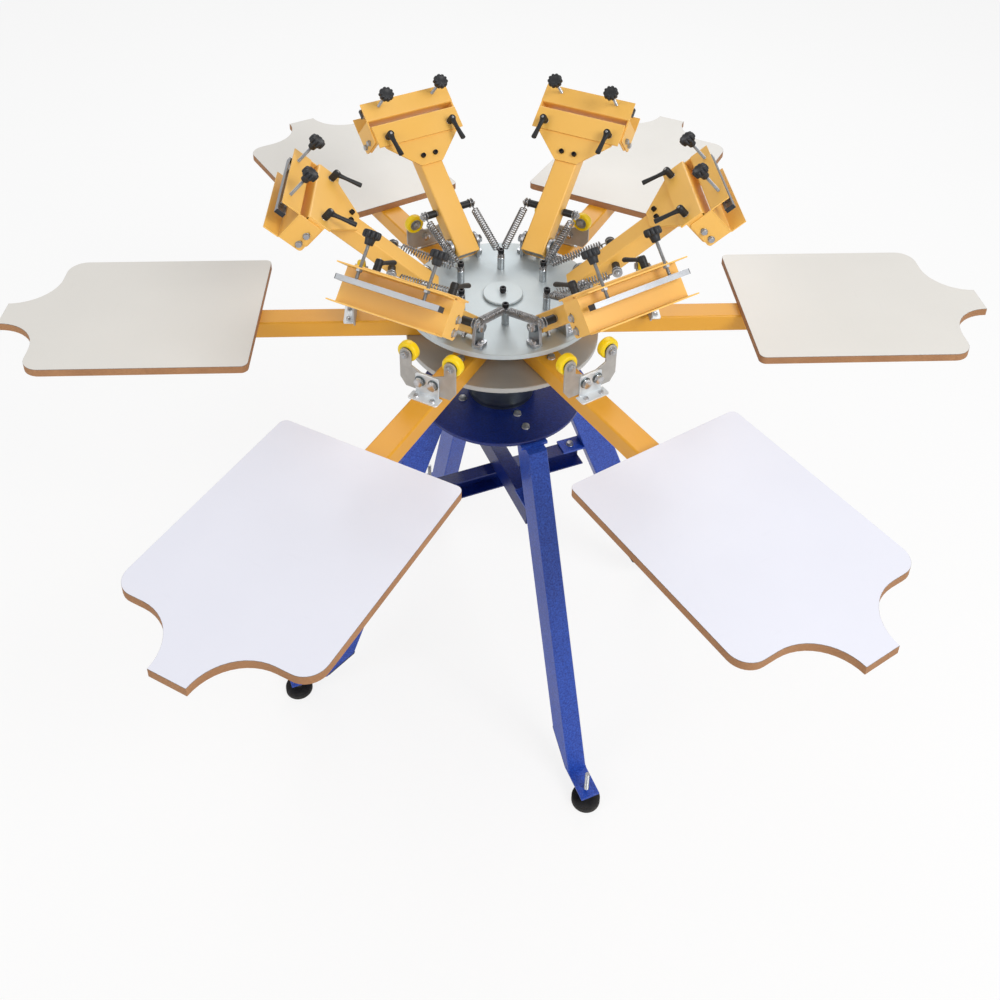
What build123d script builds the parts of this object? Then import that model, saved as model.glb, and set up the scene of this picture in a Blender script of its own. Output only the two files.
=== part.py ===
from build123d import *
import os
from math import cos, hypot, radians, sin

# Six-colour, six-station rotary screen printing press, in millimetres.
# Origin on the floor under the centre shaft, +Z up. Heads are modelled raised.

# ---------------------------------------------------------------- driving dimensions
stations = 6
running_clearance = 0.06      # shaft in a hole that turns or slides on it
bolt_clearance = 0.3          # radial room round a bolt in a drilled hole
body_gap = 0.3                # between faces of parts that move past each other

# Platens: the boards that carry the garments
platen_top_height = 1167
platen_width = 450
platen_length = 520
platen_thickness = 20
platen_inner_radius = 602     # centre shaft to the board's inner edge
platen_inner_corner = 16
platen_outer_corner = 45
platen_neck_width = 84
platen_neck_length = 105

# Platen arms and the disc that carries them
platen_arm_width = 60
platen_arm_height = 46
platen_arm_wall = 3
platen_arm_inner_radius = 82
platen_arm_outer_radius = 960
platen_disc_radius = 243
platen_disc_thickness = 14
arm_bolt_radii = (130, 215)
platen_bolt_radii = (660, 890)

# Centre shaft, bearing housing and thrust ring
shaft_radius = 28
shaft_journal_radius = 20
shaft_foot_length = 20
shaft_foot_radius = 45
housing_radius = 88
sleeve_radius = 42
sleeve_length = 90
thrust_ring_thickness = 2.7
thrust_ring_inner = 50
thrust_ring_outer = 80

# Stand
stand_plate_drop = 265         # boards' top down to the stand plate's top
stand_plate_radius = 212
stand_plate_thickness = 10
leg_angles = (-70, 20, 110, 200)
leg_width = 50
leg_depth = 80
leg_wall = 3
leg_top_radius = 197
leg_inner_cut_height = 108
leg_toe = 22                  # flat under the leg's outer edge, on the foot tab
foot_radius = 605             # centre shaft to each levelling foot
leg_foot_inset = 96           # foot centre back to the leg's centre line at the tab
foot_tab_height = 45
foot_tab_thickness = 6
foot_tab_back = 78            # inwards and outwards of the stud
foot_tab_front = 24
leg_pad_length = 130
leg_pad_thickness = 8
leg_pad_width = 70
leg_bolt_radii = (108, 161)
stud_radius = 6
stud_top = 110
rubber_foot_radius = 37
rubber_foot_height = 22
brace_height = 60
brace_depth = 40
brace_wall = 4
brace_drop = 534              # boards' top down to the level between the two braces
lug_thickness = 6
lug_length = 68
brace_end_gap = 2

# Head disc, hub and shaft cap
head_disc_radius = 245
head_disc_rise = 34           # boards' top up to the head disc's top
head_disc_thickness = 14
head_hub_radius = 60
head_hub_height = 34.7
cap_radius = 50
cap_thickness = 6
cap_gap = 2
cap_screw_radius = 5
cap_screw_depth = 26

# Head hinges
raise_angle = 42
pivot_radius = 198            # centre shaft to hinge pin
pivot_height = 44             # hinge pin above the head disc
pin_radius = 6
bush_radius = 10
ear_gap = 2                   # arm side to ear
ear_thickness = 8
ear_top_radius = 22
ear_foot_width = 18
ear_foot_thickness = 8
ear_back = 20                 # ear base, inwards and outwards of the pin
ear_front = 27
ear_bolt_offset = 13          # outwards of the pin
ear_bolt_side = 9             # outwards of the ear

# Head arms
head_arm_width = 64
head_arm_height = 44
head_arm_wall = 3
head_arm_back = 33            # past the hinge pin, towards the shaft
head_arm_front = 346
stop_bolt_offset = 22
stop_bolt_radius = 5
stop_thread_length = 18
corner_plate_thickness = 5
corner_plate_back = 225
corner_plate_shoulder = 297
corner_plate_front = 350
corner_plate_neck = 62
corner_plate_width = 214
arm_screw_offset = 250
arm_screw_side = 18
arm_screw_depth = 14

# Spring studs and posts
spring_stud_offset = 98
spring_stud_radius = 4
sleeve_start = 38
sleeve_end = 59
spring_line = 64              # spring centre line beside the arm's middle
stud_end = 76
black_sleeve_radius = 8.5
post_ring_radius = 120
post_radius = 8
post_neck_radius = 5
post_body_height = 41
post_neck_height = 12
post_cap_height = 13
spring_radius = 8
spring_wire = 1.4
spring_hook = 21              # eye centre to the first coil
spring_eye_step = 2.3         # the two eyes on one post sit this far above and below their middle
spring_eye_drop = 1.2         # that middle, below the middle of the neck

# Screen clamp: lever angle, side tabs, channel
angle_back = 300
angle_front = 362
angle_wall = 4
angle_drop = 59
tab_side = 120                # inner face of each side tab
tab_back = 314
tab_drop = 73
channel_back = 378
channel_top = 24
channel_height = 82
channel_wall = 3
channel_top_depth = 52
channel_bottom_depth = 44
ear_plate_back = 318
slot_reach = 6                # slot centre to the centre of each round end
lever_offset = 322
lever_side = 92
lever_hub_radius = 9
lever_hub_height = 28
lever_length = 62
lever_tilt = 12
slot_bolt_offset = 334
slot_bolt_heights = (-13, -41)

# Clamp bar with its knob screws
bar_offset = 414
bar_width = 24
bar_height = 16
bar_wall = 2.5
bar_end_room = 1              # bar's end to the ear plate
bar_bottom = -13
knob_side = 80
knob_screw_radius = 4
knob_hub_base = 73
knob_hub_height = 16
knob_hub_radius = 12
knob_radius = 20
knob_height = 15
knob_lobes = 8

# Registration gates and rollers
gate_radius = 368             # outer face of the gate plate
gate_thickness = 4
gate_side = 57.5              # roller centre beside the arm's middle
gate_upright_half = 15
gate_bottom_drop = 11         # boards' top down to the gate plate's lower edge
gate_web_rise = 39            # boards' top up to the middle of its web
gate_base_length = 28
gate_base_width = 76
gate_base_wall = 3.5
gate_bolt_side = 17
gate_bolt_rise = 20
roller_radius = 25
roller_width = 20
roller_pin_radius = 5

# ---------------------------------------------------------------- sizes worked out
stand_plate_top = platen_top_height - stand_plate_drop
brace_level = platen_top_height - brace_drop
head_disc_top = platen_top_height + head_disc_rise
gate_bottom = platen_top_height - gate_bottom_drop
gate_web_top = platen_top_height + gate_web_rise
gate_bolt_height = platen_top_height + gate_bolt_rise
arm_top = platen_top_height - platen_thickness
arm_bottom = arm_top - platen_arm_height
platen_disc_bottom = arm_bottom - platen_disc_thickness
housing_top = platen_disc_bottom - body_gap - thrust_ring_thickness
stand_plate_bottom = stand_plate_top - stand_plate_thickness
leg_top = stand_plate_bottom - leg_pad_thickness
foot_tab_top = foot_tab_height + foot_tab_thickness
leg_foot_radius = foot_radius - leg_foot_inset
head_disc_bottom = head_disc_top - head_disc_thickness
head_hub_bottom = head_disc_bottom - head_hub_height
shaft_shoulder = head_hub_bottom - body_gap
cap_bottom = head_disc_top + cap_gap
pivot_z = head_disc_top + pivot_height
roller_z = pivot_z - 1
post_angle = 360 / stations / 2
post_x = post_ring_radius * cos(radians(post_angle))
post_y = post_ring_radius * sin(radians(post_angle))
plate_top = head_arm_height / 2 + corner_plate_thickness
angle_bottom = plate_top + body_gap
angle_top = angle_bottom + angle_wall
channel_bottom = channel_top - channel_height
ear_plate_side = tab_side + angle_wall
bar_length = 2 * (ear_plate_side - bar_end_room)
leg_slope = (leg_foot_radius - leg_top_radius) / (leg_top - foot_tab_top)
leg_half = leg_depth / 2 * hypot(1, leg_slope)

station_angles = [360 / stations * k for k in range(stations)]


# ---------------------------------------------------------------- helpers
def block(x0, x1, y0, y1, z0, z1):
    """A box between two corners."""
    return Pos((x0 + x1) / 2, (y0 + y1) / 2, (z0 + z1) / 2) * Box(x1 - x0, y1 - y0, z1 - z0)


def rod(radius, z0, z1, x=0, y=0):
    """A round bar standing between two heights."""
    return Pos(x, y, (z0 + z1) / 2) * Cylinder(radius, z1 - z0)


def hexagon(across, z0, z1):
    """A hexagon head or nut between two heights."""
    return Pos(0, 0, z0) * extrude(RegularPolygon(across / 2, 6, major_radius=False), z1 - z0)


def bolt(radius, grip_top, grip_bottom, nut=True):
    """A hexagon bolt along Z: head on top of what it grips, nut below."""
    across = 3.3 * radius
    solid = rod(radius, grip_bottom - (1.9 * radius if nut else 0), grip_top)
    solid += hexagon(across, grip_top, grip_top + 1.25 * radius)
    if nut:
        solid += hexagon(across, grip_bottom - 1.6 * radius, grip_bottom)
    return solid


def around(solids, angles=station_angles):
    """The same solids at each angle round the shaft."""
    return [Rot(0, 0, a) * s for a in angles for s in solids]


def raised(solid, angle):
    """A head part, drawn lowered about its hinge pin, raised and turned to its station."""
    return Rot(0, 0, angle) * Pos(pivot_radius, 0, pivot_z) * Rot(0, -raise_angle, 0) * solid


def along_y(solid):
    """Turns a solid drawn along Z so that it runs along Y."""
    return Rot(-90, 0, 0) * solid


def along_x(solid):
    """Turns a solid drawn along Z so that it runs along X."""
    return Rot(0, 90, 0) * solid


def square_tube(width, height, wall, x0, x1, corner=5):
    """A rectangular tube along X, centred on the X axis."""
    outer = RectangleRounded(width, height, corner)
    inner = RectangleRounded(width - 2 * wall, height - 2 * wall, corner - wall)
    section = Plane.YZ * (outer - inner)
    return Pos(x0, 0, 0) * extrude(section, x1 - x0)


def save(name, solids):
    """Writes one node's solids to its STEP file."""
    solids = solids if isinstance(solids, list) else [solids]
    shape = solids[0] if len(solids) == 1 else Compound(children=solids)
    export_step(shape, f"parts/{name}.step")


# ---------------------------------------------------------------- stand
def stand_plate():
    plate = rod(stand_plate_radius, stand_plate_bottom, stand_plate_top)
    plate = fillet(plate.edges().filter_by(GeomType.CIRCLE), 2)
    plate -= rod(shaft_radius + running_clearance, stand_plate_bottom - 1, stand_plate_top + 1)
    for hole in around([rod(5 + bolt_clearance, stand_plate_bottom - 1, stand_plate_top + 1, r)
                        for r in leg_bolt_radii], leg_angles):
        plate -= hole
    return plate


def stand_leg(lug_level):
    """Sloping rectangular tube with a top pad, a brace lug and a tab for the levelling stud."""
    def centre(z):
        return leg_top_radius + leg_slope * (leg_top - z)

    outer_foot = centre(foot_tab_height) + leg_half
    outline = Polyline(
        (centre(leg_top) - leg_half, leg_top),
        (centre(leg_top) + leg_half, leg_top),
        (outer_foot, foot_tab_height),
        (outer_foot - leg_toe, foot_tab_height),
        (centre(leg_inner_cut_height) - leg_half, leg_inner_cut_height),
        close=True,
    )
    face = make_face(outline)
    hollow = offset(face, -leg_wall)
    tube = extrude(Plane.XZ * face, leg_width / 2, both=True)
    tube = fillet(tube.edges().sort_by(SortBy.LENGTH)[-4:], 4)
    tube -= extrude(Plane.XZ * hollow, leg_width / 2 - leg_wall, both=True)
    pad_start = leg_bolt_radii[0] - 20
    tube += block(pad_start, pad_start + leg_pad_length, -leg_pad_width / 2, leg_pad_width / 2,
                  leg_top, stand_plate_bottom)
    tube += block(foot_radius - foot_tab_back, foot_radius + foot_tab_front, -leg_width / 2, leg_width / 2,
                  foot_tab_height, foot_tab_top)
    lug_end = centre(lug_level) - leg_half + 3
    tube += block(lug_end - lug_length, lug_end, -leg_width / 2, leg_width / 2,
                  lug_level, lug_level + lug_thickness)
    for r in leg_bolt_radii:
        tube -= rod(5 + bolt_clearance, leg_top - 12, stand_plate_bottom + 1, r)
    tube -= rod(stud_radius + bolt_clearance, foot_tab_height - 1, foot_tab_top + 1, foot_radius)
    tube -= rod(5 + bolt_clearance, lug_level - 1, lug_level + lug_thickness + 1,
                lug_bolt_radius(lug_level))
    return tube


def lug_bolt_radius(level):
    """Where the brace bolt stands on a leg's lug."""
    return leg_top_radius + leg_slope * (leg_top - level) - leg_half - lug_length + 32


def brace(top):
    """Channel on edge between two opposite legs, its open side towards -Y."""
    end = leg_top_radius + leg_slope * (leg_top - top) - leg_half - brace_end_gap
    half = brace_depth / 2
    section = Rectangle(brace_depth, brace_height) - Pos(-brace_wall, 0) * Rectangle(
        brace_depth, brace_height - 2 * brace_wall)
    body = extrude(Plane.YZ * section, end, both=True)
    body = Pos(0, 0, top - brace_height / 2) * body
    for x in (-lug_bolt_radius(top), lug_bolt_radius(top)):
        body -= rod(5 + bolt_clearance, top - half, top + 1, x)
    return body


def crossing_hole(low, high):
    return rod(5 + bolt_clearance, low, high)


upper_brace_top = brace_level + brace_height
os.makedirs("parts", exist_ok=True)

save("stand_plate", stand_plate())
legs = []
for index, angle in enumerate(leg_angles):
    level = upper_brace_top if index % 2 == 0 else brace_level
    legs.append(Rot(0, 0, angle) * stand_leg(level))
save("stand_legs", legs)

hole = crossing_hole(brace_level - brace_wall - 1, brace_level + brace_wall + 1)
save("cross_braces", [
    Rot(0, 0, leg_angles[2]) * (brace(upper_brace_top) - hole),
    Rot(0, 0, leg_angles[1]) * (brace(brace_level) - hole),
])

stand_bolts = []
for index, angle in enumerate(leg_angles):
    level = upper_brace_top if index % 2 == 0 else brace_level
    for r in leg_bolt_radii:
        inside_leg = abs(r - leg_top_radius) < leg_half
        grip = bolt(5, stand_plate_top, leg_top, nut=not inside_leg)
        stand_bolts.append(Rot(0, 0, angle) * Pos(r, 0, 0) * grip)
    lug_bolt = bolt(5, level + lug_thickness, level - brace_wall)
    stand_bolts.append(Rot(0, 0, angle) * Pos(lug_bolt_radius(level), 0, 0) * lug_bolt)
stand_bolts.append(bolt(5, brace_level + brace_wall, brace_level - brace_wall))
save("stand_bolts", stand_bolts)

socket_top = foot_tab_height - 9
stud = rod(stud_radius, socket_top, stud_top) + rod(11, rubber_foot_height, socket_top)
save("levelling_studs", around([Pos(foot_radius, 0, 0) * stud], leg_angles))
lock_nut = hexagon(19, socket_top, foot_tab_height) - rod(stud_radius, socket_top, foot_tab_height)
save("levelling_nuts", around([Pos(foot_radius, 0, 0) * lock_nut], leg_angles))
rubber_foot = fillet(rod(rubber_foot_radius, 0, rubber_foot_height).edges().sort_by(Axis.Z)[-1], 6)
save("rubber_feet", around([Pos(foot_radius, 0, 0) * rubber_foot], leg_angles))


# ---------------------------------------------------------------- shaft and bearings
def revolved(points):
    """A turned part from its radius and height points."""
    return revolve(Plane.XZ * make_face(Polyline(*points, close=True)), Axis.Z)


sleeve_bottom = platen_disc_bottom - sleeve_length
bore_bottom = sleeve_bottom - 5
save("bearing_housing", revolved([
    (shaft_radius + running_clearance, stand_plate_top),
    (housing_radius - 4, stand_plate_top),
    (housing_radius - 4, stand_plate_top + 12),
    (housing_radius, stand_plate_top + 16),
    (housing_radius, housing_top - 3),
    (housing_radius - 3, housing_top),
    (sleeve_radius + running_clearance, housing_top),
    (sleeve_radius + running_clearance, bore_bottom),
    (shaft_radius + running_clearance, bore_bottom),
]))
save("thrust_ring", rod(thrust_ring_outer, housing_top, housing_top + thrust_ring_thickness)
     - rod(thrust_ring_inner, housing_top - 1, housing_top + thrust_ring_thickness + 1))

shaft_bottom = stand_plate_bottom - shaft_foot_length
shaft = revolved([
    (0, shaft_bottom),
    (shaft_foot_radius, shaft_bottom),
    (shaft_foot_radius, stand_plate_bottom),
    (shaft_radius, stand_plate_bottom),
    (shaft_radius, shaft_shoulder),
    (shaft_journal_radius, shaft_shoulder),
    (shaft_journal_radius, cap_bottom),
    (0, cap_bottom),
])
screw_hole = rod(cap_screw_radius + running_clearance, cap_bottom + cap_thickness - cap_screw_depth - 10,
                 cap_bottom + cap_thickness + 1)
save("centre_shaft", shaft - screw_hole)
cap = rod(cap_radius, cap_bottom, cap_bottom + cap_thickness)
cap = chamfer(cap.edges().sort_by(Axis.Z)[-1], 1.5)
save("shaft_cap", cap - screw_hole)


def socket_screw(radius, seat, depth):
    """A socket cap screw along Z, its head on the seat."""
    head = rod(1.6 * radius, seat, seat + 2 * radius)
    head -= Pos(0, 0, seat + radius) * extrude(RegularPolygon(0.85 * radius, 6), radius + 1)
    return head + rod(radius, seat - depth, seat)


save("cap_screw", socket_screw(cap_screw_radius, cap_bottom + cap_thickness, cap_screw_depth))


# ---------------------------------------------------------------- platen carousel
disc = rod(platen_disc_radius, platen_disc_bottom, arm_bottom)
disc = fillet(disc.edges().filter_by(GeomType.CIRCLE), 2)
disc += rod(sleeve_radius, sleeve_bottom, platen_disc_bottom)
disc -= rod(shaft_radius + running_clearance, sleeve_bottom - 1, arm_bottom + 1)
for drilling in around([rod(5 + bolt_clearance, platen_disc_bottom - 1, arm_bottom + 1, r)
                        for r in arm_bolt_radii]):
    disc -= drilling
save("platen_disc", disc)

gate_screw_radius = 3
gate_screw_offset = gate_radius + 16
gate_screw_side = 21
arm = square_tube(platen_arm_width, platen_arm_height, platen_arm_wall,
                  platen_arm_inner_radius, platen_arm_outer_radius)
arm = Pos(0, 0, arm_top - platen_arm_height / 2) * arm
for r in arm_bolt_radii:
    arm -= rod(5 + bolt_clearance, arm_bottom - 1, arm_top + 1, r)
for r in platen_bolt_radii:
    arm -= rod(4 + bolt_clearance, arm_bottom - 1, arm_top + 1, r)
for side in (-gate_screw_side, gate_screw_side):
    arm -= rod(gate_screw_radius + bolt_clearance, arm_top - 8, arm_top + 1, gate_screw_offset, side)
save("platen_arms", around([arm]))


def platen():
    """Board with a square inner end and an outer end that curves in to a neck."""
    half = platen_width / 2
    neck = platen_neck_width / 2
    sweep = platen_neck_length
    end = platen_inner_radius + platen_length
    body = Pos(platen_inner_radius + platen_length / 2, 0) * Rectangle(platen_length, platen_width)
    body = fillet(body.vertices().group_by(Axis.X)[0], platen_inner_corner)
    body = fillet(body.vertices().group_by(Axis.X)[-1], platen_outer_corner)
    tongue = Pos(end + sweep / 2, 0) * Rectangle(sweep, 2 * (neck + sweep))
    for side in (-1, 1):
        tongue -= Pos(end + sweep, side * (neck + sweep)) * Circle(sweep)
    board = extrude(body + tongue, platen_thickness)
    for r in platen_bolt_radii:
        board -= rod(4 + bolt_clearance, -1, platen_thickness - 6, r)
    return Pos(0, 0, arm_top) * board


board = platen()
for index, angle in enumerate(station_angles):
    save(f"platen_{index + 1}", Rot(0, 0, angle) * board)


def gate_plate():
    """Bent plate with a bolted web and two uprights that carry the rollers."""
    inner = gate_side - gate_upright_half
    outer = gate_side + gate_upright_half
    half = Polyline(
        (0, gate_bottom), (gate_side, gate_bottom), (outer, gate_bottom + 22),
        (outer, roller_z), (inner, roller_z), (inner, gate_web_top + 12),
        (gate_bolt_side, gate_web_top), (0, gate_web_top), close=True,
    )
    face = make_face(half) + Pos(gate_side, roller_z) * Circle(gate_upright_half)
    face += mirror(face, Plane.YZ)
    for side in (-1, 1):
        face -= Pos(side * gate_side, roller_z) * Circle(roller_pin_radius + bolt_clearance)
        face -= Pos(side * gate_bolt_side, gate_bolt_height) * Circle(6 + bolt_clearance)
    return Pos(gate_radius - gate_thickness, 0, 0) * extrude(Plane.YZ * face, gate_thickness)


def gate_base():
    """Angle on the platen arm that the gate plate is bolted to."""
    half = gate_base_width / 2
    base = block(gate_radius, gate_radius + gate_base_length, -half, half,
                 arm_top, arm_top + gate_base_wall)
    base += block(gate_radius, gate_radius + gate_base_wall, -half + 8, half - 8,
                  arm_top, gate_web_top)
    for side in (-1, 1):
        base -= rod(gate_screw_radius + bolt_clearance, arm_top - 1, arm_top + 10,
                    gate_screw_offset, side * gate_screw_side)
        across = along_x(rod(6 + bolt_clearance, gate_radius - 1, gate_radius + 10))
        base -= Pos(0, side * gate_bolt_side, gate_bolt_height) * across
    return base


save("gate_plates", around([gate_plate()]))
save("gate_bases", around([gate_base()]))

fasteners = []
for r in arm_bolt_radii:
    fasteners.append(Pos(r, 0, 0) * bolt(5, arm_top, platen_disc_bottom))
for r in platen_bolt_radii:
    screw = Rot(180, 0, 0) * bolt(4, 0, -platen_arm_height - platen_thickness + 7, nut=False)
    fasteners.append(Pos(r, 0, arm_bottom) * screw)
for side in (-1, 1):
    screw = bolt(gate_screw_radius, arm_top + gate_base_wall, arm_top - platen_arm_wall)
    fasteners.append(Pos(gate_screw_offset, side * gate_screw_side, 0) * screw)
    washer_top = gate_base_wall + 2
    gate_bolt = bolt(6, washer_top, -gate_thickness)
    gate_bolt += rod(12, gate_base_wall, washer_top)
    fasteners.append(Pos(gate_radius, side * gate_bolt_side, gate_bolt_height) * along_x(gate_bolt))
save("platen_fasteners", around(fasteners))


# ---------------------------------------------------------------- rollers and their pins
roller_back = gate_radius - gate_thickness - 2
roller_front = roller_back - roller_width
roller_profile = [
    (roller_pin_radius + running_clearance, roller_front),
    (11, roller_front),
    (11, roller_front + 3),
    (17, roller_front + 3),
    (17, roller_front),
    (roller_radius - 4, roller_front),
    (roller_radius, roller_front + 5),
    (roller_radius, roller_back - 5),
    (roller_radius - 4, roller_back),
    (17, roller_back),
    (17, roller_back - 3),
    (11, roller_back - 3),
    (11, roller_back),
    (roller_pin_radius + running_clearance, roller_back),
]
roller = along_x(revolved(roller_profile))
pin = rod(roller_pin_radius, roller_front - body_gap, gate_radius + 9)
pin += hexagon(16, roller_front - body_gap - 6, roller_front - body_gap)
pin += rod(8, roller_back + body_gap, gate_radius - gate_thickness)
pin += hexagon(16, gate_radius, gate_radius + 7)
pin = along_x(pin)
roller_pins = []
number = 0
for angle in station_angles:
    for side in (-1, 1):
        number += 1
        place = Rot(0, 0, angle) * Pos(0, side * gate_side, roller_z)
        save(f"roller_{number}", place * roller)
        roller_pins.append(place * pin)
save("roller_pins", roller_pins)


# ---------------------------------------------------------------- head carousel
disc = rod(head_disc_radius, head_disc_bottom, head_disc_top)
disc = fillet(disc.edges().filter_by(GeomType.CIRCLE), 2)
journal = rod(shaft_journal_radius + running_clearance, head_hub_bottom - 1, head_disc_top + 1)
ear_bolt_y = head_arm_width / 2 + ear_gap + ear_thickness + ear_bolt_side
ear_bolt_x = pivot_radius + ear_bolt_offset
disc -= journal
for drilling in around([rod(4 + bolt_clearance, head_disc_bottom - 1, head_disc_top + 1,
                            ear_bolt_x, side * ear_bolt_y) for side in (-1, 1)]):
    disc -= drilling
save("head_disc", disc)
save("head_hub", rod(head_hub_radius, head_hub_bottom, head_disc_bottom) - journal)

post = revolved([
    (0, 0),
    (post_radius, 0),
    (post_radius, post_body_height),
    (post_neck_radius, post_body_height),
    (post_neck_radius, post_body_height + post_neck_height),
    (post_radius, post_body_height + post_neck_height),
    (post_radius, post_body_height + post_neck_height + post_cap_height - 1),
    (post_radius - 1, post_body_height + post_neck_height + post_cap_height),
    (0, post_body_height + post_neck_height + post_cap_height),
])
save("spring_posts", around([Rot(0, 0, post_angle) * Pos(post_ring_radius, 0, head_disc_top) * post]))


def hinge_ear(side):
    """Arched cheek beside the head arm, with a foot that is bolted to the disc."""
    inner = head_arm_width / 2 + ear_gap
    outer = inner + ear_thickness
    cheek = make_face(Polyline(
        (-ear_back, -pivot_height), (ear_front, -pivot_height), (ear_top_radius, 0),
        (-ear_top_radius, 0), close=True,
    )) + Circle(ear_top_radius)
    cheek -= Circle(pin_radius + running_clearance)
    ear = extrude(Plane.XZ * cheek, ear_thickness / 2, both=True)
    ear = Pos(pivot_radius, (inner + outer) / 2, pivot_z) * ear
    foot = block(pivot_radius - 6, pivot_radius + ear_front, outer, outer + ear_foot_width,
                 head_disc_top, head_disc_top + ear_foot_thickness)
    foot = fillet(foot.edges().filter_by(Axis.Z).group_by(Axis.Y)[-1], 6)
    ear += foot
    ear -= rod(4 + bolt_clearance, head_disc_top - 1, head_disc_top + 20, ear_bolt_x, ear_bolt_y)
    return ear if side > 0 else mirror(ear, Plane.XZ)


save("hinge_ears", around([hinge_ear(1), hinge_ear(-1)]))

head_fasteners = []
for side in (-1, 1):
    ear_bolt = bolt(4, head_disc_top + ear_foot_thickness, head_disc_bottom)
    head_fasteners.append(Pos(ear_bolt_x, side * ear_bolt_y, 0) * ear_bolt)
ear_outer = head_arm_width / 2 + ear_gap + ear_thickness
hinge_pin = bolt(pin_radius, ear_outer, -ear_outer)
for side in (-1, 1):
    near, far = sorted((side * (head_arm_width / 2 + body_gap), side * (head_arm_width / 2 + ear_gap)))
    hinge_pin += rod(12, near, far)
head_fasteners.append(Pos(pivot_radius, 0, pivot_z) * along_y(hinge_pin))
save("head_fasteners", around(head_fasteners))


# ---------------------------------------------------------------- heads
def head_arm():
    """Tube arm with its bush, corner plate, cap screws, spring studs and stop bolt."""
    half = head_arm_height / 2
    tube = square_tube(head_arm_width, head_arm_height, head_arm_wall, -head_arm_back, head_arm_front)
    bush = along_y(rod(bush_radius, -head_arm_width / 2, head_arm_width / 2))
    tube += bush
    tube -= along_y(rod(pin_radius + running_clearance, -head_arm_width, head_arm_width))
    outline = Polyline(
        (corner_plate_back, corner_plate_neck / 2), (corner_plate_shoulder, corner_plate_width / 2),
        (corner_plate_front, corner_plate_width / 2), (corner_plate_front, -corner_plate_width / 2),
        (corner_plate_shoulder, -corner_plate_width / 2), (corner_plate_back, -corner_plate_neck / 2),
        close=True,
    )
    plate = Pos(0, 0, half) * extrude(make_face(outline), corner_plate_thickness)
    solids = []
    for side in (-1, 1):
        drilling = rod(4 + bolt_clearance, half - 8, plate_top + 1, arm_screw_offset, side * arm_screw_side)
        tube -= drilling
        plate -= drilling
        plate -= Pos(lever_offset, side * lever_side, half) * extrude(
            SlotCenterToCenter(2 * slot_reach, 9), 2 * corner_plate_thickness, both=True)
        solids.append(Pos(arm_screw_offset, side * arm_screw_side, 0) * socket_screw(4, plate_top, arm_screw_depth))
        stud = rod(spring_stud_radius, head_arm_width / 2, stud_end)
        stud += hexagon(13, head_arm_width / 2, sleeve_start)
        stud += rod(8, sleeve_end, sleeve_end + 1.5)
        stud += hexagon(13, spring_line + 3, spring_line + 9)
        sleeve = rod(black_sleeve_radius, sleeve_start, sleeve_end) - rod(
            spring_stud_radius, sleeve_start, sleeve_end)
        for piece in (stud, sleeve):
            turned = along_y(piece) if side > 0 else mirror(along_y(piece), Plane.XZ)
            solids.append(Pos(spring_stud_offset, 0, 0) * turned)
    stop = rod(stop_bolt_radius, -half - stop_reach, -half) + rod(3, -half, -half + stop_thread_length)
    stop += hexagon(13, -half - 4, -half)
    tube -= rod(3 + bolt_clearance, -half - 1, -half + head_arm_wall + 1, -stop_bolt_offset)
    solids.append(Pos(-stop_bolt_offset, 0, 0) * stop)
    return [tube, plate] + solids


# The stop bolt just meets the disc when the head is fully raised.
drop_at_stop = stop_bolt_offset * sin(radians(raise_angle)) + stop_bolt_radius * sin(radians(raise_angle))
stop_reach = (pivot_height - body_gap - drop_at_stop) / cos(radians(raise_angle)) - head_arm_height / 2


def lever():
    """Clamping lever: moulded hub and tapered handle on a stud."""
    hub = Pos(0, 0, lever_hub_height / 2) * Cone(lever_hub_radius, lever_hub_radius - 1.5, lever_hub_height)
    handle = Pos(0, 0, lever_hub_height - 7) * Rot(0, -90 + lever_tilt, 0) * Pos(
        0, 0, lever_length / 2) * Cone(6.5, 5, lever_length)
    return hub + handle


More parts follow.
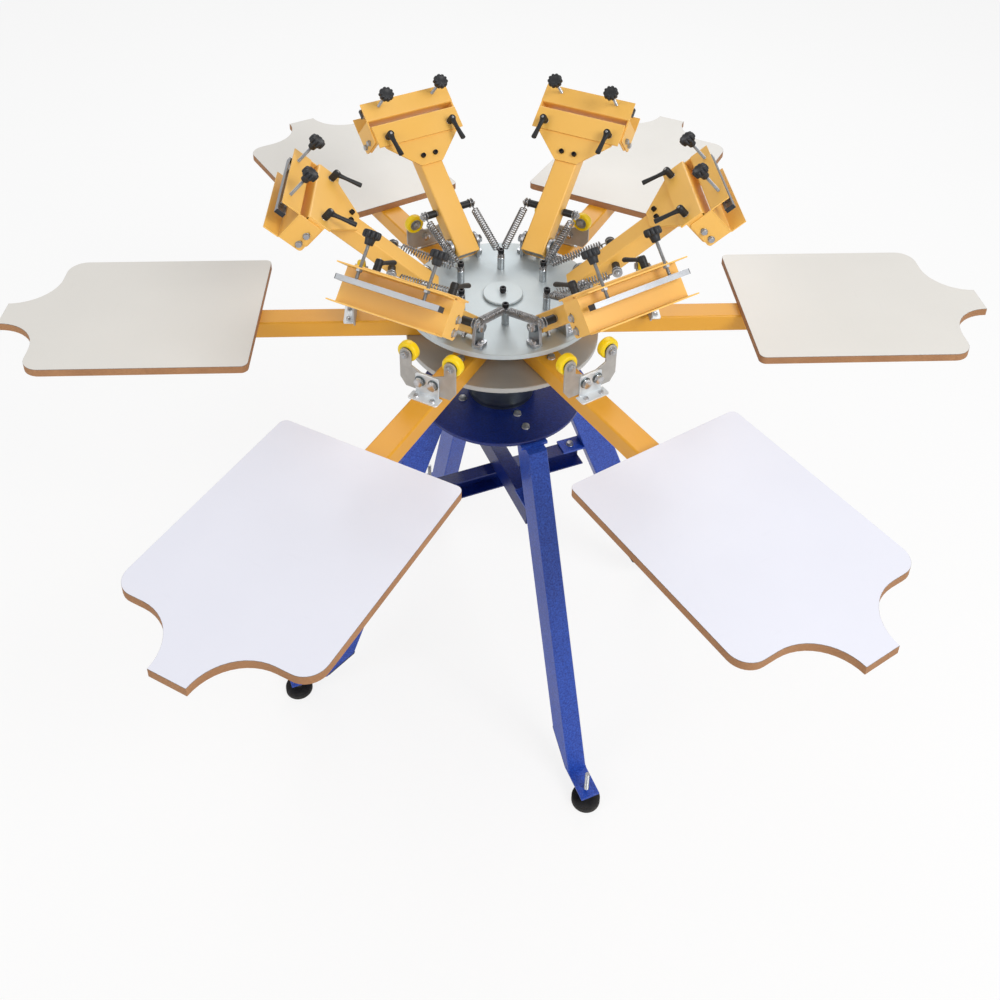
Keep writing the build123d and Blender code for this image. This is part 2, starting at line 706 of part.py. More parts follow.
def screen_clamp():
    """Lever angle, channel with slotted ear plates, levers and the bolts that join them."""
    half = tab_side + angle_wall
    angle = block(angle_back, angle_front, -half, half, angle_bottom, angle_top)
    angle += block(angle_front - angle_wall, angle_front, -half, half, angle_top - angle_drop, angle_bottom)
    for side in (-1, 1):
        low, high = sorted((side * tab_side, side * half))
        angle += block(tab_back, angle_front, low, high, angle_top - tab_drop, angle_bottom)
    profile = Polyline(
        (0, channel_bottom), (channel_bottom_depth, channel_bottom),
        (channel_bottom_depth, channel_bottom + channel_wall),
        (channel_wall, channel_bottom + channel_wall), (channel_wall, channel_top - channel_wall),
        (channel_top_depth, channel_top - channel_wall), (channel_top_depth, channel_top),
        (0, channel_top), close=True,
    )
    ear_outer_face = ear_plate_side + angle_wall
    channel = Pos(channel_back, 0, 0) * extrude(Plane.XZ * make_face(profile), ear_outer_face, both=True)
    back_edges = channel.edges().filter_by(Axis.Y).group_by(Axis.X)[0]
    channel = fillet(back_edges, 2)
    solids = []
    for side in (-1, 1):
        low, high = sorted((side * ear_plate_side, side * ear_outer_face))
        ear = block(ear_plate_back, channel_back, low, high, channel_bottom + 2, channel_top - 2)
        middle = (low + high) / 2
        for height in slot_bolt_heights:
            slot = extrude(Plane.XZ * (Pos(slot_bolt_offset, height) * Rot(0, 0, 90)
                                       * SlotCenterToCenter(12, 9)), angle_wall, both=True)
            ear -= Pos(0, middle, 0) * slot
            hole = along_y(rod(4 + bolt_clearance, -angle_wall, angle_wall))
            angle -= Pos(slot_bolt_offset, side * (tab_side + angle_wall / 2), height) * hole
            zinc = bolt(4, ear_outer_face, tab_side)
            zinc = along_y(zinc) if side > 0 else mirror(along_y(zinc), Plane.XZ)
            solids.append(Pos(slot_bolt_offset, 0, height) * zinc)
        channel += ear
        hole = rod(4, angle_bottom - 1, angle_top + 1, lever_offset, side * lever_side)
        angle -= hole
        nut_top = head_arm_height / 2 - body_gap
        stud = rod(4, nut_top - 8, angle_top) + hexagon(13, nut_top - 6, nut_top)
        solids.append(Pos(lever_offset, side * lever_side, 0) * stud)
        solids.append(Pos(lever_offset, side * lever_side, angle_top) * lever())
        channel -= rod(knob_screw_radius + running_clearance, channel_top - 10, channel_top + 1,
                       bar_offset, side * knob_side)
        nut = hexagon(13, channel_top - channel_wall - 6, channel_top - channel_wall) - rod(
            knob_screw_radius + running_clearance, channel_top - 12, channel_top)
        solids.append(Pos(bar_offset, side * knob_side, 0) * nut)
    return [angle, channel] + solids


def star_knob():
    """Lobed grip over a round hub."""
    grip = Circle(knob_radius)
    for k in range(knob_lobes):
        bite = 360 / knob_lobes * (k + 0.5)
        grip -= Rot(0, 0, bite) * Pos(knob_radius + 2, 0) * Circle(5.5)
    top = knob_hub_base + knob_hub_height
    knob = Pos(0, 0, top) * extrude(grip, knob_height)
    return knob + rod(knob_hub_radius, knob_hub_base, top)


def clamp_bar():
    """Aluminium channel bar, open on top, with two knob screws standing in it."""
    floor = bar_bottom + bar_wall
    outline = Rectangle(bar_width, bar_height)
    outline -= Pos(0, bar_wall) * Rectangle(bar_width - 2 * bar_wall, bar_height)
    bar = extrude(Plane.XZ * outline, bar_length / 2, both=True)
    bar = Pos(bar_offset, 0, bar_bottom + bar_height / 2) * bar
    solids = [bar]
    for side in (-1, 1):
        place = Pos(bar_offset, side * knob_side, 0)
        solids.append(place * (rod(knob_screw_radius, floor, knob_hub_base) + rod(8, floor, floor + 2)))
        solids.append(place * star_knob())
    return solids


arm_solids = head_arm()
clamp_solids = screen_clamp()
bar_solids = clamp_bar()
for index, angle in enumerate(station_angles):
    save(f"head_arm_{index + 1}", [raised(s, angle) for s in arm_solids])
    save(f"screen_clamp_{index + 1}", [raised(s, angle) for s in clamp_solids])
    save(f"clamp_bar_{index + 1}", [raised(s, angle) for s in bar_solids])


# ---------------------------------------------------------------- springs
def spring(side):
    """Extension spring from a post's neck to the arm's side stud, eyes included."""
    lift = radians(raise_angle)
    neck_height = head_disc_top + post_body_height + post_neck_height / 2 - spring_eye_drop
    start = Vector(post_x, side * post_y, neck_height + side * spring_eye_step)
    end = Vector(pivot_radius + spring_stud_offset * cos(lift), side * spring_line,
                 pivot_z + spring_stud_offset * sin(lift))
    way = end - start
    length = way.length
    eye = post_neck_radius + spring_wire + 1
    stretch = length - 2 * spring_hook
    coil = Cylinder(spring_radius, stretch) - Cylinder(spring_radius - 2 * spring_wire, stretch)
    pieces = Plane(origin=start + way * 0.5, z_dir=way) * coil
    bridge = spring_radius - spring_wire
    along = way / length
    for point, flat, sign in ((start, Vector(1, 1, 0), 1), (end, Vector(1, 0, 1), -1)):
        toward = along * sign
        level = Vector(toward.X * flat.X, toward.Y * flat.Y, toward.Z * flat.Z).normalized()
        coil_end = point + toward * (spring_hook + spring_wire)
        stem_start = point + level * eye
        stem = Plane(origin=stem_start, z_dir=coil_end - stem_start) * Pos(
            0, 0, (coil_end - stem_start).length / 2) * Cylinder(
            0.8 * spring_wire, (coil_end - stem_start).length)
        bar = Plane(origin=coil_end, z_dir=toward) * Box(2 * bridge, 2 * spring_wire, 2 * spring_wire)
        turn = Rot(0, 0, 0) if flat.Y else Rot(90, 0, 0)
        pieces += [stem, bar, Pos(*point) * turn * Torus(eye, spring_wire)]
    return pieces


save("springs", around([spring(-1), spring(1)]))
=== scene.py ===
import math

import bpy
from mathutils import Matrix, Vector


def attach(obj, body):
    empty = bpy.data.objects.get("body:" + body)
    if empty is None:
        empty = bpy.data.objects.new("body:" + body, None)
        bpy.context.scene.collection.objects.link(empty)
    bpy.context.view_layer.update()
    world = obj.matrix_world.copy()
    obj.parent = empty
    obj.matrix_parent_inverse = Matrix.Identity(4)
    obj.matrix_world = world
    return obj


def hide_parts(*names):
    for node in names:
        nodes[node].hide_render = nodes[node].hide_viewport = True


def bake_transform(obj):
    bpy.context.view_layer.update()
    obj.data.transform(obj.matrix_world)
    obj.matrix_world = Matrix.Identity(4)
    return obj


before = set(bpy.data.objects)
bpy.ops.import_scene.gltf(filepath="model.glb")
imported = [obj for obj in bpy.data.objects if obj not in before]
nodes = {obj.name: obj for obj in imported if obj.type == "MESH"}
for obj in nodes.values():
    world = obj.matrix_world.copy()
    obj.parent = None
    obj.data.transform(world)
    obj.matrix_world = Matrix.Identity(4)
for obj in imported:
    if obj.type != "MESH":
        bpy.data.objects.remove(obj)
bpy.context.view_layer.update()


def link(name, data):
    """A new object in the scene."""
    made = bpy.data.objects.new(name, data)
    bpy.context.scene.collection.objects.link(made)
    return made


# ---------------------------------------------------------------- camera
# The press as someone sees it who stands on a step in front of it, with the lens shifted down
# so that the near feet stay in the frame.
focal_pixels, picture_pixels = 1145, 1000
eye = Vector((-0.131, -2.351, 2.834))
yaw, pitch, roll = math.radians(3.5), math.radians(30), math.radians(1.2)
ahead = Vector((math.sin(yaw) * math.cos(pitch), math.cos(yaw) * math.cos(pitch), -math.sin(pitch)))
level = Vector((math.cos(yaw), -math.sin(yaw), 0))
plumb = level.cross(ahead)
camera = link("camera", bpy.data.cameras.new("camera"))
camera.data.sensor_width = 36
camera.data.lens = focal_pixels / picture_pixels * camera.data.sensor_width
camera.data.shift_x = -0.010
camera.data.shift_y = -0.300
camera.data.clip_start = 0.05
camera.data.clip_end = 60
axes = (math.cos(roll) * level + math.sin(roll) * plumb,
        math.cos(roll) * plumb - math.sin(roll) * level, -ahead)
camera.matrix_world = Matrix.Translation(eye) @ Matrix(axes).transposed().to_4x4()
bpy.context.scene.camera = camera
bpy.context.scene.view_settings.view_transform = "Standard"


# ---------------------------------------------------------------- stand weldments
# Top plate, four square-cornered tube legs and the two crossed channels, all welded steel under
# hammer-finish blue enamel: small glossy dimples, with painted shade in their floors. The plate and
# the channels get a darker copy of the same blue, painted shade for where they lie in shadow.
class Value:
    """One output socket of a finish's nodes, which sums and products can be written on."""

    def __init__(self, finish, socket):
        self.finish, self.socket = finish, socket

    def maths(self, operation, first, second=0.0, clamp=False):
        settings = {"operation": operation, "use_clamp": clamp}
        return self.finish.node("ShaderNodeMath", settings, {0: first, 1: second})

    def __add__(self, other):
        return self.maths("ADD", self, other)

    def __sub__(self, other):
        return self.maths("SUBTRACT", self, other)

    def __rsub__(self, other):
        return self.maths("SUBTRACT", other, self)

    def __mul__(self, other):
        return self.maths("MULTIPLY", self, other)

    def __pow__(self, other):
        return self.maths("POWER", self, other)

    def __gt__(self, other):
        return self.maths("GREATER_THAN", self, other)

    def clamped(self):
        return self.maths("ADD", self, 0.0, clamp=True)


class Finish:
    """One surface finish: its material, and the nodes that vary it."""

    def __init__(self, name, **sockets):
        self.material = bpy.data.materials.new(name)
        self.material.use_nodes = True
        self.tree = self.material.node_tree
        self.shader = next(n for n in self.tree.nodes if n.type == "BSDF_PRINCIPLED")
        for socket, value in sockets.items():
            self.shader.inputs[socket.replace("_", " ")].default_value = value

    def node(self, kind, settings, values, output=0):
        made = self.tree.nodes.new(kind)
        for key, value in settings.items():
            setattr(made, key, value)
        for key, value in values.items():
            if isinstance(value, Value):
                self.tree.links.new(value.socket, made.inputs[key])
            else:
                made.inputs[key].default_value = value
        return Value(self, made.outputs[output])

    def place(self):
        return self.node("ShaderNodeTexCoord", {}, {}, "Object")

    def drawn(self):
        return self.node("ShaderNodeAttribute", {"attribute_name": "drawn"}, {}, "Vector")

    def axis(self, name, of=None):
        return self.node("ShaderNodeSeparateXYZ", {}, {0: of or self.place()}, name)

    def stretched(self, x, y, z, of=None):
        return self.node("ShaderNodeVectorMath", {"operation": "MULTIPLY"},
                         {0: of or self.place(), 1: (x, y, z)})

    def noise(self, scale, detail=2.0, roughness=0.5, at=None):
        return self.node("ShaderNodeTexNoise", {}, {"Vector": at or self.place(), "Scale": scale,
                                                    "Detail": detail, "Roughness": roughness})

    def cells(self, scale, at=None):
        return self.node("ShaderNodeTexVoronoi", {}, {"Vector": at or self.place(), "Scale": scale})

    def mix(self, share, first, second):
        colours = [c if isinstance(c, Value) else (*c, 1) for c in (first, second)]
        return self.node("ShaderNodeMix", {"data_type": "RGBA"},
                         {0: share, 6: colours[0], 7: colours[1]}, 2)

    def feed(self, **links):
        for socket, value in links.items():
            self.tree.links.new(value.socket, self.shader.inputs[socket.replace("_", " ")])
        return self

    def bump(self, height, distance, strength=1.0):
        values = {"Height": height, "Distance": distance, "Strength": strength}
        return self.feed(Normal=self.node("ShaderNodeBump", {}, values))


def shade(red, green, blue):
    """A colour as a paint chart gives it, 0 to 255, in the linear numbers a shader takes."""
    return tuple((c / 255) ** 2.2 for c in (red, green, blue))


def hammered_blue(name, deep, pale):
    paint = Finish(name, Coat_Weight=0.2, Coat_Roughness=0.16, Specular_IOR_Level=0.4)
    dimples = paint.noise(240, 2.0)
    drift = paint.noise(6, 3.0)
    # Painted shade: the dimples' floors, low in their bump, are mixed towards the deep tone.
    tone = (dimples * 1.5 + drift * 0.4 - 0.45).clamped()
    paint.feed(Base_Color=paint.mix(tone, shade(*deep), shade(*pale)),
               Roughness=drift * 0.2 + 0.3)
    return paint.bump(dimples, 0.0012, 0.5).material


def dress(node, material):
    """Gives a part carried over from the drawing its finish."""
    mesh = nodes[node].data
    mesh.materials.clear()
    mesh.materials.append(material)
    mesh.shade_smooth()
    mesh.set_sharp_from_angle(angle=math.radians(30))


blue = hammered_blue("hammered_blue", (14, 40, 126), (52, 96, 206))
# Painted shade: a darker copy of the same blue for the plate and the channels, which lie in the shade of the
# discs.
shaded_blue = hammered_blue("hammered_blue_painted_shade", (4, 16, 72), (16, 46, 128))
dress("stand_legs", blue)
dress("stand_plate", shaded_blue)
dress("cross_braces", shaded_blue)

board_top = 1167
stand_top = board_top - 265
leg_angles = (-70, 20, 110, 200)
leg_width = 50
foot_radius = 605
leg_top_radius, leg_top_level = 197, stand_top - 18
tab_level, tab_top = 45, 51
leg_slope = (foot_radius - 96 - leg_top_radius) / (leg_top_level - tab_top)
leg_half = 40 * math.hypot(1, leg_slope)
plate_rim = 218


def at(x=0, y=0, z=0):
    return Matrix.Translation((x, y, z))


def turn(axis, degrees):
    return Matrix.Rotation(math.radians(degrees), 4, axis)


def mirror(side):
    """Nothing at side 1, and a mirror across the XZ plane at side -1."""
    return Matrix.Scale(side, 4, (0, 1, 0))


# Three ways to stand up what was drawn flat. They send its X, Y and Z to Y, Z and X (along_x), to
# X, Z and -Y (upright), and to X, Z and Y (facing_y), which also mirrors it.
along_x = Matrix(((0, 0, 1, 0), (1, 0, 0, 0), (0, 1, 0, 0), (0, 0, 0, 1)))
upright = Matrix(((1, 0, 0, 0), (0, 0, -1, 0), (0, 1, 0, 0), (0, 0, 0, 1)))
facing_y = Matrix(((1, 0, 0, 0), (0, 0, 1, 0), (0, 1, 0, 0), (0, 0, 0, 1)))


def around(count):
    """The angles of one whole turn in equal steps."""
    return [2 * math.pi * k / count for k in range(count)]


def polar(radius, angle):
    return radius * math.cos(angle), radius * math.sin(angle)


def skin(rows, count, capped=True):
    """Faces over rows of points that each run once round, with both ends closed if capped."""
    faces = [(i * count + k, i * count + (k + 1) % count, (i + 1) * count + (k + 1) % count,
              (i + 1) * count + k) for i in range(rows - 1) for k in range(count)]
    if capped:
        faces.append(tuple(reversed(range(count))))
        faces.append(tuple((rows - 1) * count + k for k in range(count)))
    return faces


class Shape:
    """Points in millimetres and faces, each face with a finish number."""

    def __init__(self, points=(), faces=()):
        self.points = [Vector(p) for p in points]
        self.faces = [(tuple(f), 0) for f in faces]

    def add(self, other, place=Matrix.Identity(4), finish=None):
        start = len(self.points)
        mirrored = place.determinant() < 0
        self.points += [place @ p for p in other.points]
        for face, number in other.faces:
            order = reversed(face) if mirrored else face
            kept = number if finish is None else finish
            self.faces.append((tuple(start + k for k in order), kept))
        return self

    def mesh(self, name, *finishes, crease=35):
        mesh = bpy.data.meshes.new(name)
        mesh.from_pydata([p * 0.001 for p in self.points], [], [f for f, _ in self.faces])
        for material in finishes:
            mesh.materials.append(material)
        mesh.polygons.foreach_set("material_index", [number for _, number in self.faces])
        mesh.update()
        mesh.shade_smooth()
        mesh.set_sharp_from_angle(angle=math.radians(crease))
        return mesh


def fit(mesh, name, body, place=Matrix.Identity(4)):
    """Puts a copy of a made mesh in its place, in metres, on a body. The copy remembers the points
    it was drawn with, which a finish with a direction follows."""
    mesh = mesh.copy()
    drawn = mesh.attributes.new("drawn", "FLOAT_VECTOR", "POINT")
    drawn.data.foreach_set("vector", [c for vertex in mesh.vertices for c in vertex.co])
    mesh.transform(place)
    piece = link(name, mesh)
    bpy.context.view_layer.update()
    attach(piece, body)
    return piece


def tube(path, radius, sides=8):
    """A round bar along points; radius is one number or one for each point."""
    points = []
    path = [Vector(p) for p in path]
    radii = radius if isinstance(radius, list) else [radius] * len(path)
    side = None
    for here, before, after, size in zip(path, path[:1] + path, path[1:] + path[-1:], radii):
        way = (after - before).normalized()
        if side is None:
            side = way.orthogonal().normalized()
        side = (side - way * side.dot(way)).normalized()
        other = way.cross(side)
        points += [here + (side * math.cos(a) + other * math.sin(a)) * size for a in around(sides)]
    return Shape(points, skin(len(path), sides))


def weld(start, stop, size=2.4):
    """A hand-laid weld bead with its row of overlapping ripples."""
    start, stop = Vector(start), Vector(stop)
    steps = max(4, int((stop - start).length / 1.1))
    path = [start.lerp(stop, k / steps) for k in range(steps + 1)]
    radii = [size * (0.82 + 0.18 * abs(math.sin(k * 1.25)) + 0.05 * math.sin(k * 0.7))
             for k in range(steps + 1)]
    radii[0] = radii[-1] = size * 0.5
    return tube(path, radii)


def leg_centre(z):
    return leg_top_radius + leg_slope * (leg_top_level - z)


seams = Shape()
brace_level, brace_height = board_top - 534, 60
lug_levels = [brace_level + (brace_height if number % 2 == 0 else 0) for number in range(4)]
inner = leg_centre(leg_top_level) - leg_half
outer = leg_centre(leg_top_level) + leg_half
half = leg_width / 2
for lug, angle in zip(lug_levels, leg_angles):
    around_leg = turn("Z", angle)
    lug_joint = leg_centre(lug + 3) - leg_half
    for side in (-1, 1):
        seams.add(weld((inner, side * half, leg_top_level),
                       (min(outer, plate_rim), side * half, leg_top_level)), around_leg)
        seams.add(weld((leg_centre(tab_level) + leg_half - 20, side * (half - 1), tab_top + 0.5),
                       (leg_centre(tab_top) + leg_half, side * (half - 1), tab_top + 0.5), 2.2),
                  around_leg)
    seams.add(weld((inner, -half, leg_top_level), (inner, half, leg_top_level)), around_leg)
    for level in (lug + 6.5, lug - 0.5):
        seams.add(weld((lug_joint, -half, level), (lug_joint, half, level)), around_leg)
seams = fit(seams.mesh("weld_seams", blue, crease=60), "weld_seams", "stand")


# ---------------------------------------------------------------- leg ends
# Black ribbed plugs pressed into the slanting open ends of the leg tubes.
# Moulded in polyethylene, a little proud of the steel.
def moulded_black(name="black_plastic", tone=(27, 28, 30)):
    plastic = Finish(name, Specular_IOR_Level=0.45)
    grain = plastic.noise(900, 2.0)
    wear = plastic.noise(18, 4.0)
    plastic.feed(Base_Color=plastic.mix((wear * 1.4 - 0.3).clamped(), shade(*tone),
                                        shade(*(c + 16 for c in tone))),
                 Roughness=wear * 0.2 + 0.36)
    return plastic.bump(grain, 0.0003, 0.35).material


def rounded(corners, radius, steps=5):
    """A closed outline with its corners rounded."""
    corners = [Vector(c) for c in corners]
    out = []
    for k, here in enumerate(corners):
        before, after = corners[k - 1], corners[(k + 1) % len(corners)]
        size = radius[k] if isinstance(radius, (list, tuple)) else radius
        if size <= 0:
            out.append(here)
            continue
        one, two = (before - here).normalized(), (after - here).normalized()
        half = one.angle(two) / 2
        reach = min(size / math.tan(half), (before - here).length * 0.49, (after - here).length * 0.49)
        centre = here + (one + two).normalized() * (reach / math.cos(half))
        start = here + one * reach - centre
        stop = here + two * reach - centre
        whole = math.atan2(start.x * stop.y - start.y * stop.x, start.dot(stop))
        for s in range(steps + 1):
            a = whole * s / steps
            out.append(centre + Vector((start.x * math.cos(a) - start.y * math.sin(a),
                                        start.x * math.sin(a) + start.y * math.cos(a))))
    return out


def plate(outline, low, high, holes=(), edge=0.6):
    """A plate cut along an outline, standing from low to high along Z, with its edges broken."""
    curve = bpy.data.curves.new("cutting", "CURVE")
    curve.dimensions, curve.fill_mode = "2D", "BOTH"
    curve.extrude = (high - low) / 2 - edge
    curve.bevel_depth, curve.bevel_resolution, curve.offset = edge, 0, -edge
    for ring in (outline, *holes):
        spline = curve.splines.new("POLY")
        spline.points.add(len(ring) - 1)
        for point, corner in zip(spline.points, ring):
            point.co = (corner[0], corner[1], 0, 1)
        spline.use_cyclic_u = True
    blank = link("cutting", curve)
    cut = bpy.data.meshes.new_from_object(blank)
    points = [v.co + Vector((0, 0, (low + high) / 2)) for v in cut.vertices]
    faces = [tuple(f.vertices) for f in cut.polygons]
    bpy.data.objects.remove(blank)
    bpy.data.curves.remove(curve)
    bpy.data.meshes.remove(cut)
    # The curve gives each face its own corners. Those that fall together are made one.
    per_millimetre = 500
    where, kept, merged = {}, [], []
    for point in points:
        key = tuple(round(c * per_millimetre) for c in point)
        if key not in where:
            where[key] = len(kept)
            kept.append(point)
        merged.append(where[key])
    rings = [tuple(dict.fromkeys(merged[k] for k in face)) for face in faces]
    return Shape(kept, [ring for ring in rings if len(ring) > 2])


black = moulded_black()
plugs = Shape()
end_top, ribs = 108, 7
for angle in leg_angles:
    inside = Vector((leg_centre(end_top) - leg_half, 0, end_top))
    outside = Vector((leg_centre(tab_level) + leg_half - 22, 0, tab_level))
    slant = outside - inside
    length = slant.length
    lie = turn("Y", math.degrees(math.atan2(-slant.z, slant.x)))
    plug = plate(rounded([(4, -21), (length - 4, -21), (length - 4, 21), (4, 21)], 5),
                 -9, -0.5, edge=0.8)
    plug.add(plate(rounded([(0, -25), (length - 1, -25), (length - 1, 25), (0, 25)], 4),
                   -3.2, 0.0, edge=1.0))
    for k in range(ribs):
        across = 8 + k * (length - 16) / (ribs - 1)
        plug.add(plate(rounded([(across - 1.2, -18), (across + 1.2, -18), (across + 1.2, 18),
                                (across - 1.2, 18)], 0.8, 2), -5.0, -3.0, edge=0.3))
    plugs.add(plug, turn("Z", angle) @ at(*inside) @ lie)
plugs = fit(plugs.mesh("leg_plugs", black), "leg_plugs", "stand")


# ---------------------------------------------------------------- stand fasteners
# M10 hexagon bolts, washers and nuts in bright zinc plate: through the top plate into the legs,
# through the brace lugs and through the crossing of the braces.
def zinc_plated(name, dark, light, metal, dullness):
    zinc = Finish(name, Metallic=metal)
    cloud = zinc.noise(45, 4.0)
    spangle = zinc.cells(500)
    zinc.feed(Base_Color=zinc.mix(cloud, shade(*dark), shade(*light)),
              Roughness=cloud * 0.18 + spangle * 0.12 + dullness)
    return zinc.bump(zinc.noise(600, 2.0), 0.0003, 0.25).material


zinc = zinc_plated("bright_zinc", (138, 140, 144), (206, 208, 210), 0.85, 0.22)


def lathe(profile, sides=32):
    """A part turned about Z from (radius, height) points, from one end of its surface to the other."""
    points = [(*polar(radius, a), height) for radius, height in profile for a in around(sides)]
    closed = profile[0] == profile[-1]
    faces = skin(len(profile), sides, capped=not closed)
    if closed:
        rising = sum(a[0] * b[1] - b[0] * a[1] for a, b in zip(profile, profile[1:])) > 0
    else:
        rising = profile[0][1] <= profile[-1][1]
    if not rising:
        faces = [tuple(reversed(f)) for f in faces]
    return Shape(points, faces)


def hexagon_reach(flat, angle):
    """How far a hexagon goes at an angle, from half its width across the flats."""
    return flat / math.cos((angle + math.pi / 6) % (math.pi / 3) - math.pi / 6)


def hexagon(across, low, high):
    """A hexagon head or nut with the corners of its upper face turned off."""
    flat, count = across / 2, 24
    reaches = [hexagon_reach(flat, a) for a in around(count)]
    shoulder = [high - (reach - flat) * 0.6 - 0.05 * (high - low) for reach in reaches]
    rows = [(reaches, [low] * count), (reaches, shoulder), ([flat * 0.94] * count, [high] * count)]
    points = [(*polar(reach, a), level) for row in rows for reach, level, a in zip(*row, around(count))]
    return Shape(points, skin(len(rows), count))


def washer(outer, inner, low, high):
    edge = (high - low) * 0.3
    return lathe([(inner, low), (outer - edge, low), (outer, low + edge), (outer, high - edge),
                  (outer - edge, high), (inner, high), (inner, low)], 28)


def thread(radius, low, high, pitch):
    """Threaded bar with a chamfered tip at its low end."""
    root = radius - 0.6 * pitch
    profile = [(root * 0.85, low), (root, low + pitch * 0.5)]
    for k in range(max(1, int((high - low) / pitch) - 1)):
        profile += [(radius, low + pitch * (k + 1)), (root, low + pitch * (k + 1.5))]
    profile.append((root, high))
    return lathe(profile, 16)


def bolt(radius, top, bottom, nut=True, washers=True):
    """A hexagon bolt along Z that grips what lies between two levels."""
    across, sheet, pitch = 3.3 * radius, 0.3 * radius, max(1.0, radius * 0.3)
    seat = top + (sheet if washers else 0)
    under = bottom - (sheet if washers and nut else 0)
    made = hexagon(across, seat, seat + 1.25 * radius)
    if washers:
        made.add(washer(2.1 * radius, radius, top, seat))
    tip = bottom
    if nut:
        if washers:
            made.add(washer(2.1 * radius, radius, under, bottom))
        made.add(hexagon(across, 0, 1.45 * radius), at(0, 0, under) @ turn("X", 180))
        tip = under - 1.9 * radius
    return made.add(thread(radius, tip, seat, pitch))


bolts = Shape()
brace_wall, lug_wall, lug_length = 4, 6, 68
plate_bolt_radii = (108, 161)
for lug, angle in zip(lug_levels, leg_angles):
    around_leg = turn("Z", angle)
    for radius in plate_bolt_radii:
        in_leg = abs(radius - leg_top_radius) < leg_half
        bolts.add(bolt(5, stand_top, leg_top_level, nut=not in_leg), around_leg @ at(radius))
    lug_bolt = leg_centre(lug) - leg_half - lug_length + 32
    bolts.add(bolt(5, lug + lug_wall, lug - brace_wall), around_leg @ at(lug_bolt))
bolts.add(bolt(5, brace_level + brace_wall, brace_level - brace_wall))
bolts = fit(bolts.mesh("stand_bolting", zinc), "stand_bolting", "stand")
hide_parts("stand_bolts")


# ---------------------------------------------------------------- levelling feet
# A zinc-plated stud with its lock nut in each foot tab, standing in a moulded rubber foot.
def foot_rubber():
    rubber = Finish("foot_rubber", Specular_IOR_Level=0.3)
    dust = rubber.noise(30, 5.0, 0.6)
    height = rubber.axis("Z")
    low = (1 - height * 60).clamped()
    rubber.feed(Base_Color=rubber.mix((dust * 0.6 + low * 0.5 - 0.25).clamped(), shade(28, 28, 30),
                                      shade(92, 90, 86)),
                Roughness=dust * 0.25 + 0.55)
    return rubber.bump(rubber.noise(700, 3.0), 0.0004, 0.4).material


stud_radius, nut_height = 6, 9
stud = thread(stud_radius, tab_level - nut_height, 110, 1.6)
stud.add(lathe([(11, 22), (11, 32), (9, 35), (stud_radius, 36)], 24))
stud.add(hexagon(19, 0, nut_height), at(0, 0, tab_level - nut_height))
stud.add(hexagon(10, 24, 30))
foot = lathe([(33, 0), (36, 0.8), (37, 2.4), (37, 8), (36.2, 9), (36.2, 11), (37, 12), (37, 16),
              (35.6, 20), (32.5, 22), (20, 22.0), (18.5, 21.2), (13.5, 21.2), (12.5, 22), (11, 22)], 48)
studs, feet = Shape(), Shape()
for angle in leg_angles:
    studs.add(stud, turn("Z", angle) @ at(foot_radius))
    feet.add(foot, turn("Z", angle) @ at(foot_radius))
studs = fit(studs.mesh("foot_studs", zinc), "foot_studs", "stand")
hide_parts("levelling_studs", "levelling_nuts")
feet = fit(feet.mesh("foot_pads", foot_rubber()), "foot_pads", "stand")
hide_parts("rubber_feet")


# ---------------------------------------------------------------- bearing housing and shaft
# Turned from dark round bar and left bare under an oil film: fine rings from the lathe tool.
def turned_steel(name, dark, light, roughness, metal):
    steel = Finish(name, Metallic=metal)
    bands = steel.noise(1.0, 3.0, 0.6, steel.stretched(4, 4, 900))
    stain = steel.noise(9, 4.0)
    steel.feed(Base_Color=steel.mix((bands * 0.5 + stain * 0.7 - 0.1).clamped(), shade(*dark),
                                    shade(*light)),
               Roughness=stain * 0.18 + bands * 0.12 + roughness)
    return steel.bump(bands, 0.00012, 0.5).material


oiled = turned_steel("oiled_steel", (84, 94, 98), (146, 154, 156), 0.2, 0.95)
ground = turned_steel("ground_steel", (140, 146, 152), (196, 202, 206), 0.24, 1.0)
housing_top = board_top - 83
foot_profile = [(60, 0), (83, 0), (84, 1), (84, 11.5), (85, 13), (88, 16.5)]
body_profile = [(88, -101), (87.2, -100), (87.2, -96), (88, -95), (88, -3), (85.5, -0.4), (84, 0), (42.1, 0)]
housing = lathe([(radius, stand_top + height) for radius, height in foot_profile]
                + [(radius, housing_top + height) for radius, height in body_profile], 72)
housing = fit(housing.mesh("housing", oiled), "housing", "stand")
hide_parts("bearing_housing")
dress("thrust_ring", ground)
dress("centre_shaft", ground)


# ---------------------------------------------------------------- carousel discs
# The lower disc carries the platen arms and the upper one the print heads. Both are plate turned
# on a lathe and left bare: faint rings round the shaft, soft stains, bright edges.
def faced_steel(name, dark, light):
    steel = Finish(name, Metallic=0.55, Specular_IOR_Level=0.4)
    x, y = steel.axis("X"), steel.axis("Y")
    radius = (x * x + y * y) ** 0.5
    rings = steel.node("ShaderNodeTexNoise", {"noise_dimensions": "1D"},
                       {"W": radius, "Scale": 700.0, "Detail": 3.0})
    stain = steel.noise(7, 5.0, 0.6)
    steel.feed(Base_Color=steel.mix((rings * 0.35 + stain * 0.9 - 0.15).clamped(), shade(*dark),
                                    shade(*light)),
               Roughness=rings * 0.14 + stain * 0.18 + 0.36)
    return steel.bump(rings, 0.00015, 0.35).material


dress("platen_disc", faced_steel("faced_steel_lower", (168, 168, 166), (206, 205, 201)))
bright_disc = faced_steel("faced_steel_upper", (182, 192, 197), (216, 224, 226))
dress("head_disc", bright_disc)
dress("head_hub", ground)
